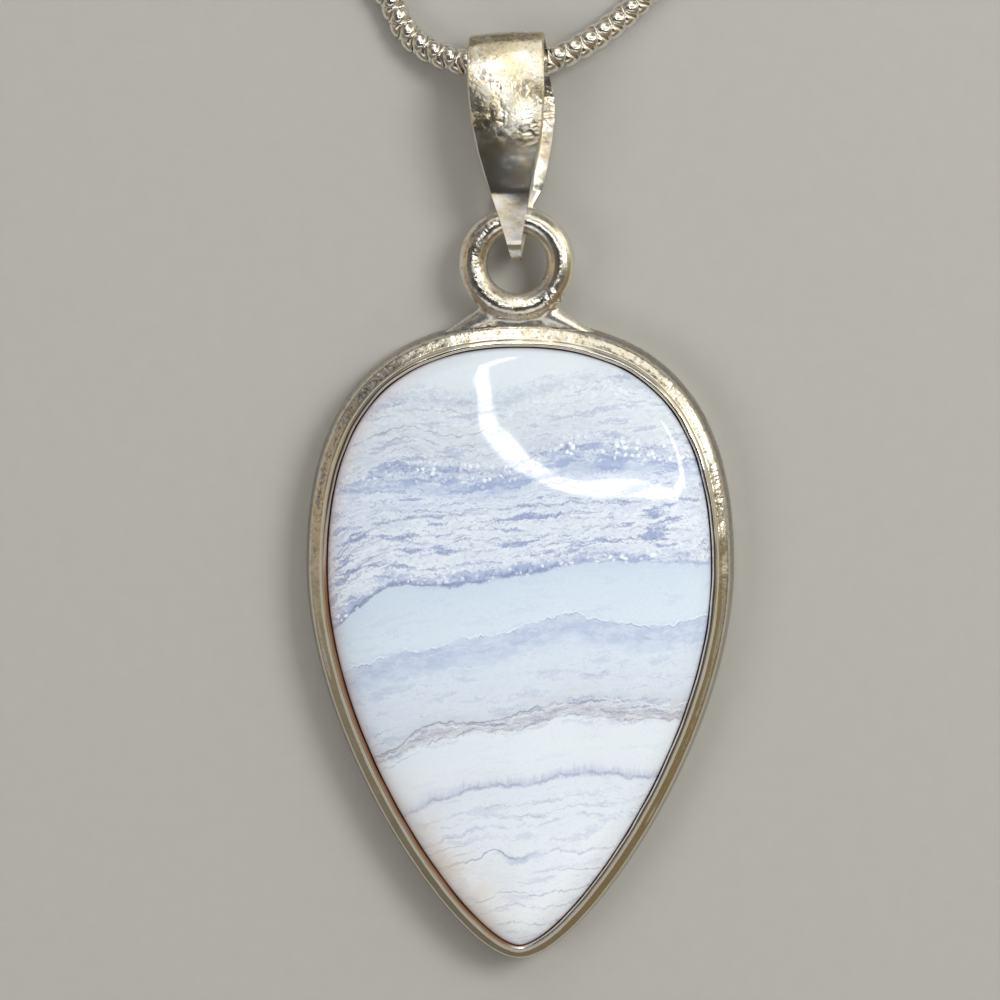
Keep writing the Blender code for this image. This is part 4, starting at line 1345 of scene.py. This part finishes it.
ring_cap_place = level_frame(ROUTE[0], ROUTE[0] - ROUTE[1])
hook_cap_place = level_frame(HOOK_CAP, Vector((1, 0, 0)))
ends = {"ring_end_cap": cap_piece("ring_cap_barrel", ring_cap_place),
        "end_ring": end_ring_piece(ring_cap_place),
        "hook_end_cap": cap_piece("hook_cap_barrel", hook_cap_place),
        "hook": hook_piece(hook_cap_place)}
for node, made in ends.items():
    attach(made, "bail_and_chain")
    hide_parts(node)

[tuple(point * MM) for point in chain_line]

# %% [markdown]
# The stage is a plain pale board. One soft panel above to the right gives the main light and one to
# the left fills the shadows. Ten narrow strips hang overhead in a bent line, because a domed stone
# shows such a line as the white stripe that makes it look wet. The rest is a dim room: silver only
# looks like silver when it has dark and bright things round it to reflect.

# %% The floor and the lights
STRIP_Z = 330.0
STRIP_COLOUR = (1.0, 0.99, 0.95)
STRIPS = [
    ((-30, 560), (-60, 330), 24, 5), ((-60, 330), (-50, 215), 15, 5), ((-50, 215), (-28, 98), 13, 6.5),
    ((-28, 98), (-8, 54), 14, 7), ((-11, 58), (8, 42), 15, 7.5), ((3, 41), (130, 40), 10, 8),
    ((125, 40), (240, 48), 12, 8), ((235, 47), (325, 84), 18, 8), ((325, 80), (385, 145), 45, 5.5),
    ((380, 125), (355, 235), 70, 5)]
PANEL_AIM = (0, 5, 0)
PANEL_COLOUR = (0.90, 0.955, 1.0)
PANELS = [("key_panel", (200, 140, 300), 130, 13.8), ("fill_panel", (-260, -60, 300), 200, 3.0)]
BOARD_SIZE = 1500.0
BOARD_PAINTS = (paint(170, 167, 161), paint(176, 173, 167))
ROUND_THE_ROOM = [
    (0.0, paint(168, 151, 127)), (0.05, paint(130, 122, 106)), (0.12, paint(108, 104, 92)),
    (0.25, paint(114, 106, 90)), (0.38, paint(120, 106, 79)), (0.47, paint(130, 115, 85)),
    (0.52, paint(170, 158, 128)), (0.545, paint(255, 248, 224)), (0.60, paint(255, 249, 230)),
    (0.63, paint(134, 130, 122)), (0.70, paint(128, 125, 118)), (0.725, paint(255, 255, 251)),
    (0.775, paint(255, 255, 251)), (0.80, paint(150, 147, 140)), (0.86, paint(104, 101, 96)),
    (0.92, paint(118, 109, 96)), (0.96, paint(164, 147, 123)), (1.0, paint(168, 151, 127))]


def floor_piece():
    """A flat pale board under the pendant."""
    work = bmesh.new()
    bmesh.ops.create_grid(work, x_segments=1, y_segments=1, size=BOARD_SIZE)
    finish = Finish("pale_board")
    grain = finish.noise(finish.place(), 0.9, 4.0, 0.6)
    material = finish.set(Base_Color=finish.mix(grain, *BOARD_PAINTS), Roughness=0.85)
    return piece("board", work, material)


def panel(name, place, aim, size, brightness, colour, along=(0, 1, 0)):
    """A rectangular light in mm that looks at a point, as bright as a white sheet times brightness."""
    data = bpy.data.lights.new(name, "AREA")
    data.shape = "RECTANGLE"
    data.size = size[0] * MM
    data.size_y = size[1] * MM
    data.energy = brightness * math.pi * data.size * data.size_y
    data.color = colour
    made = bpy.data.objects.new(name, data)
    forward = (Vector(aim) - Vector(place)).normalized()
    lengthwise = Vector(along)
    lengthwise = (lengthwise - forward * lengthwise.dot(forward)).normalized()
    turned = Matrix((lengthwise.cross(-forward), lengthwise, -forward)).transposed().to_4x4()
    made.matrix_world = Matrix.Translation(Vector(place) * MM) @ turned
    bpy.context.scene.collection.objects.link(made)
    return made


def studio():
    """The dim room: dark overhead, bright high up in the north-east and south, a patterned skyline."""
    world = bpy.data.worlds.new("studio")
    world.use_nodes = True
    room = Wiring(world.node_tree)
    heading = room.node("ShaderNodeTexCoord", {}, {}, output="Generated")
    east, north, up = room.parts(heading)
    overhead = (up * 0.985 - north * 0.17).rise(0.89, 0.97)
    north_east = (east * 0.45 + north * 0.89).rise(0.12, 0.55)
    front = (0.0 - north).rise(0.36, 0.60) * up.rise(0.45, 0.70)
    high = up.rise(0.56, 0.70)
    compass = north.math("ARCTAN2", north, east) / math.tau + 0.5
    light = (north_east * 1.10 + front * 0.90 + 0.07) * (1 - overhead) + 0.040
    light = light * high + (1 - high) * 1.15
    tint = room.mix(north_east, (0.97, 0.97, 0.97, 1), (1.0, 0.96, 0.84, 1))
    tint = room.mix(high, room.ramp(compass, ROUND_THE_ROOM), tint)
    background = world.node_tree.nodes["Background"]
    world.node_tree.links.new(tint.socket, background.inputs["Color"])
    world.node_tree.links.new(light.socket, background.inputs["Strength"])
    bpy.context.scene.world = world


floor = floor_piece()
for number, (start, end, width, brightness) in enumerate(STRIPS):
    start, end = Vector((*start, STRIP_Z)), Vector((*end, STRIP_Z))
    middle = (start + end) / 2
    panel("strip_%d" % number, middle, middle - Vector((0, 0, 1)), (width, (end - start).length), brightness,
          STRIP_COLOUR, along=end - start)
for name, place, side, brightness in PANELS:
    made = panel(name, place, PANEL_AIM, (side, side), brightness, PANEL_COLOUR)
    made.visible_glossy = False
studio()
bpy.context.scene.view_settings.view_transform = "Standard"
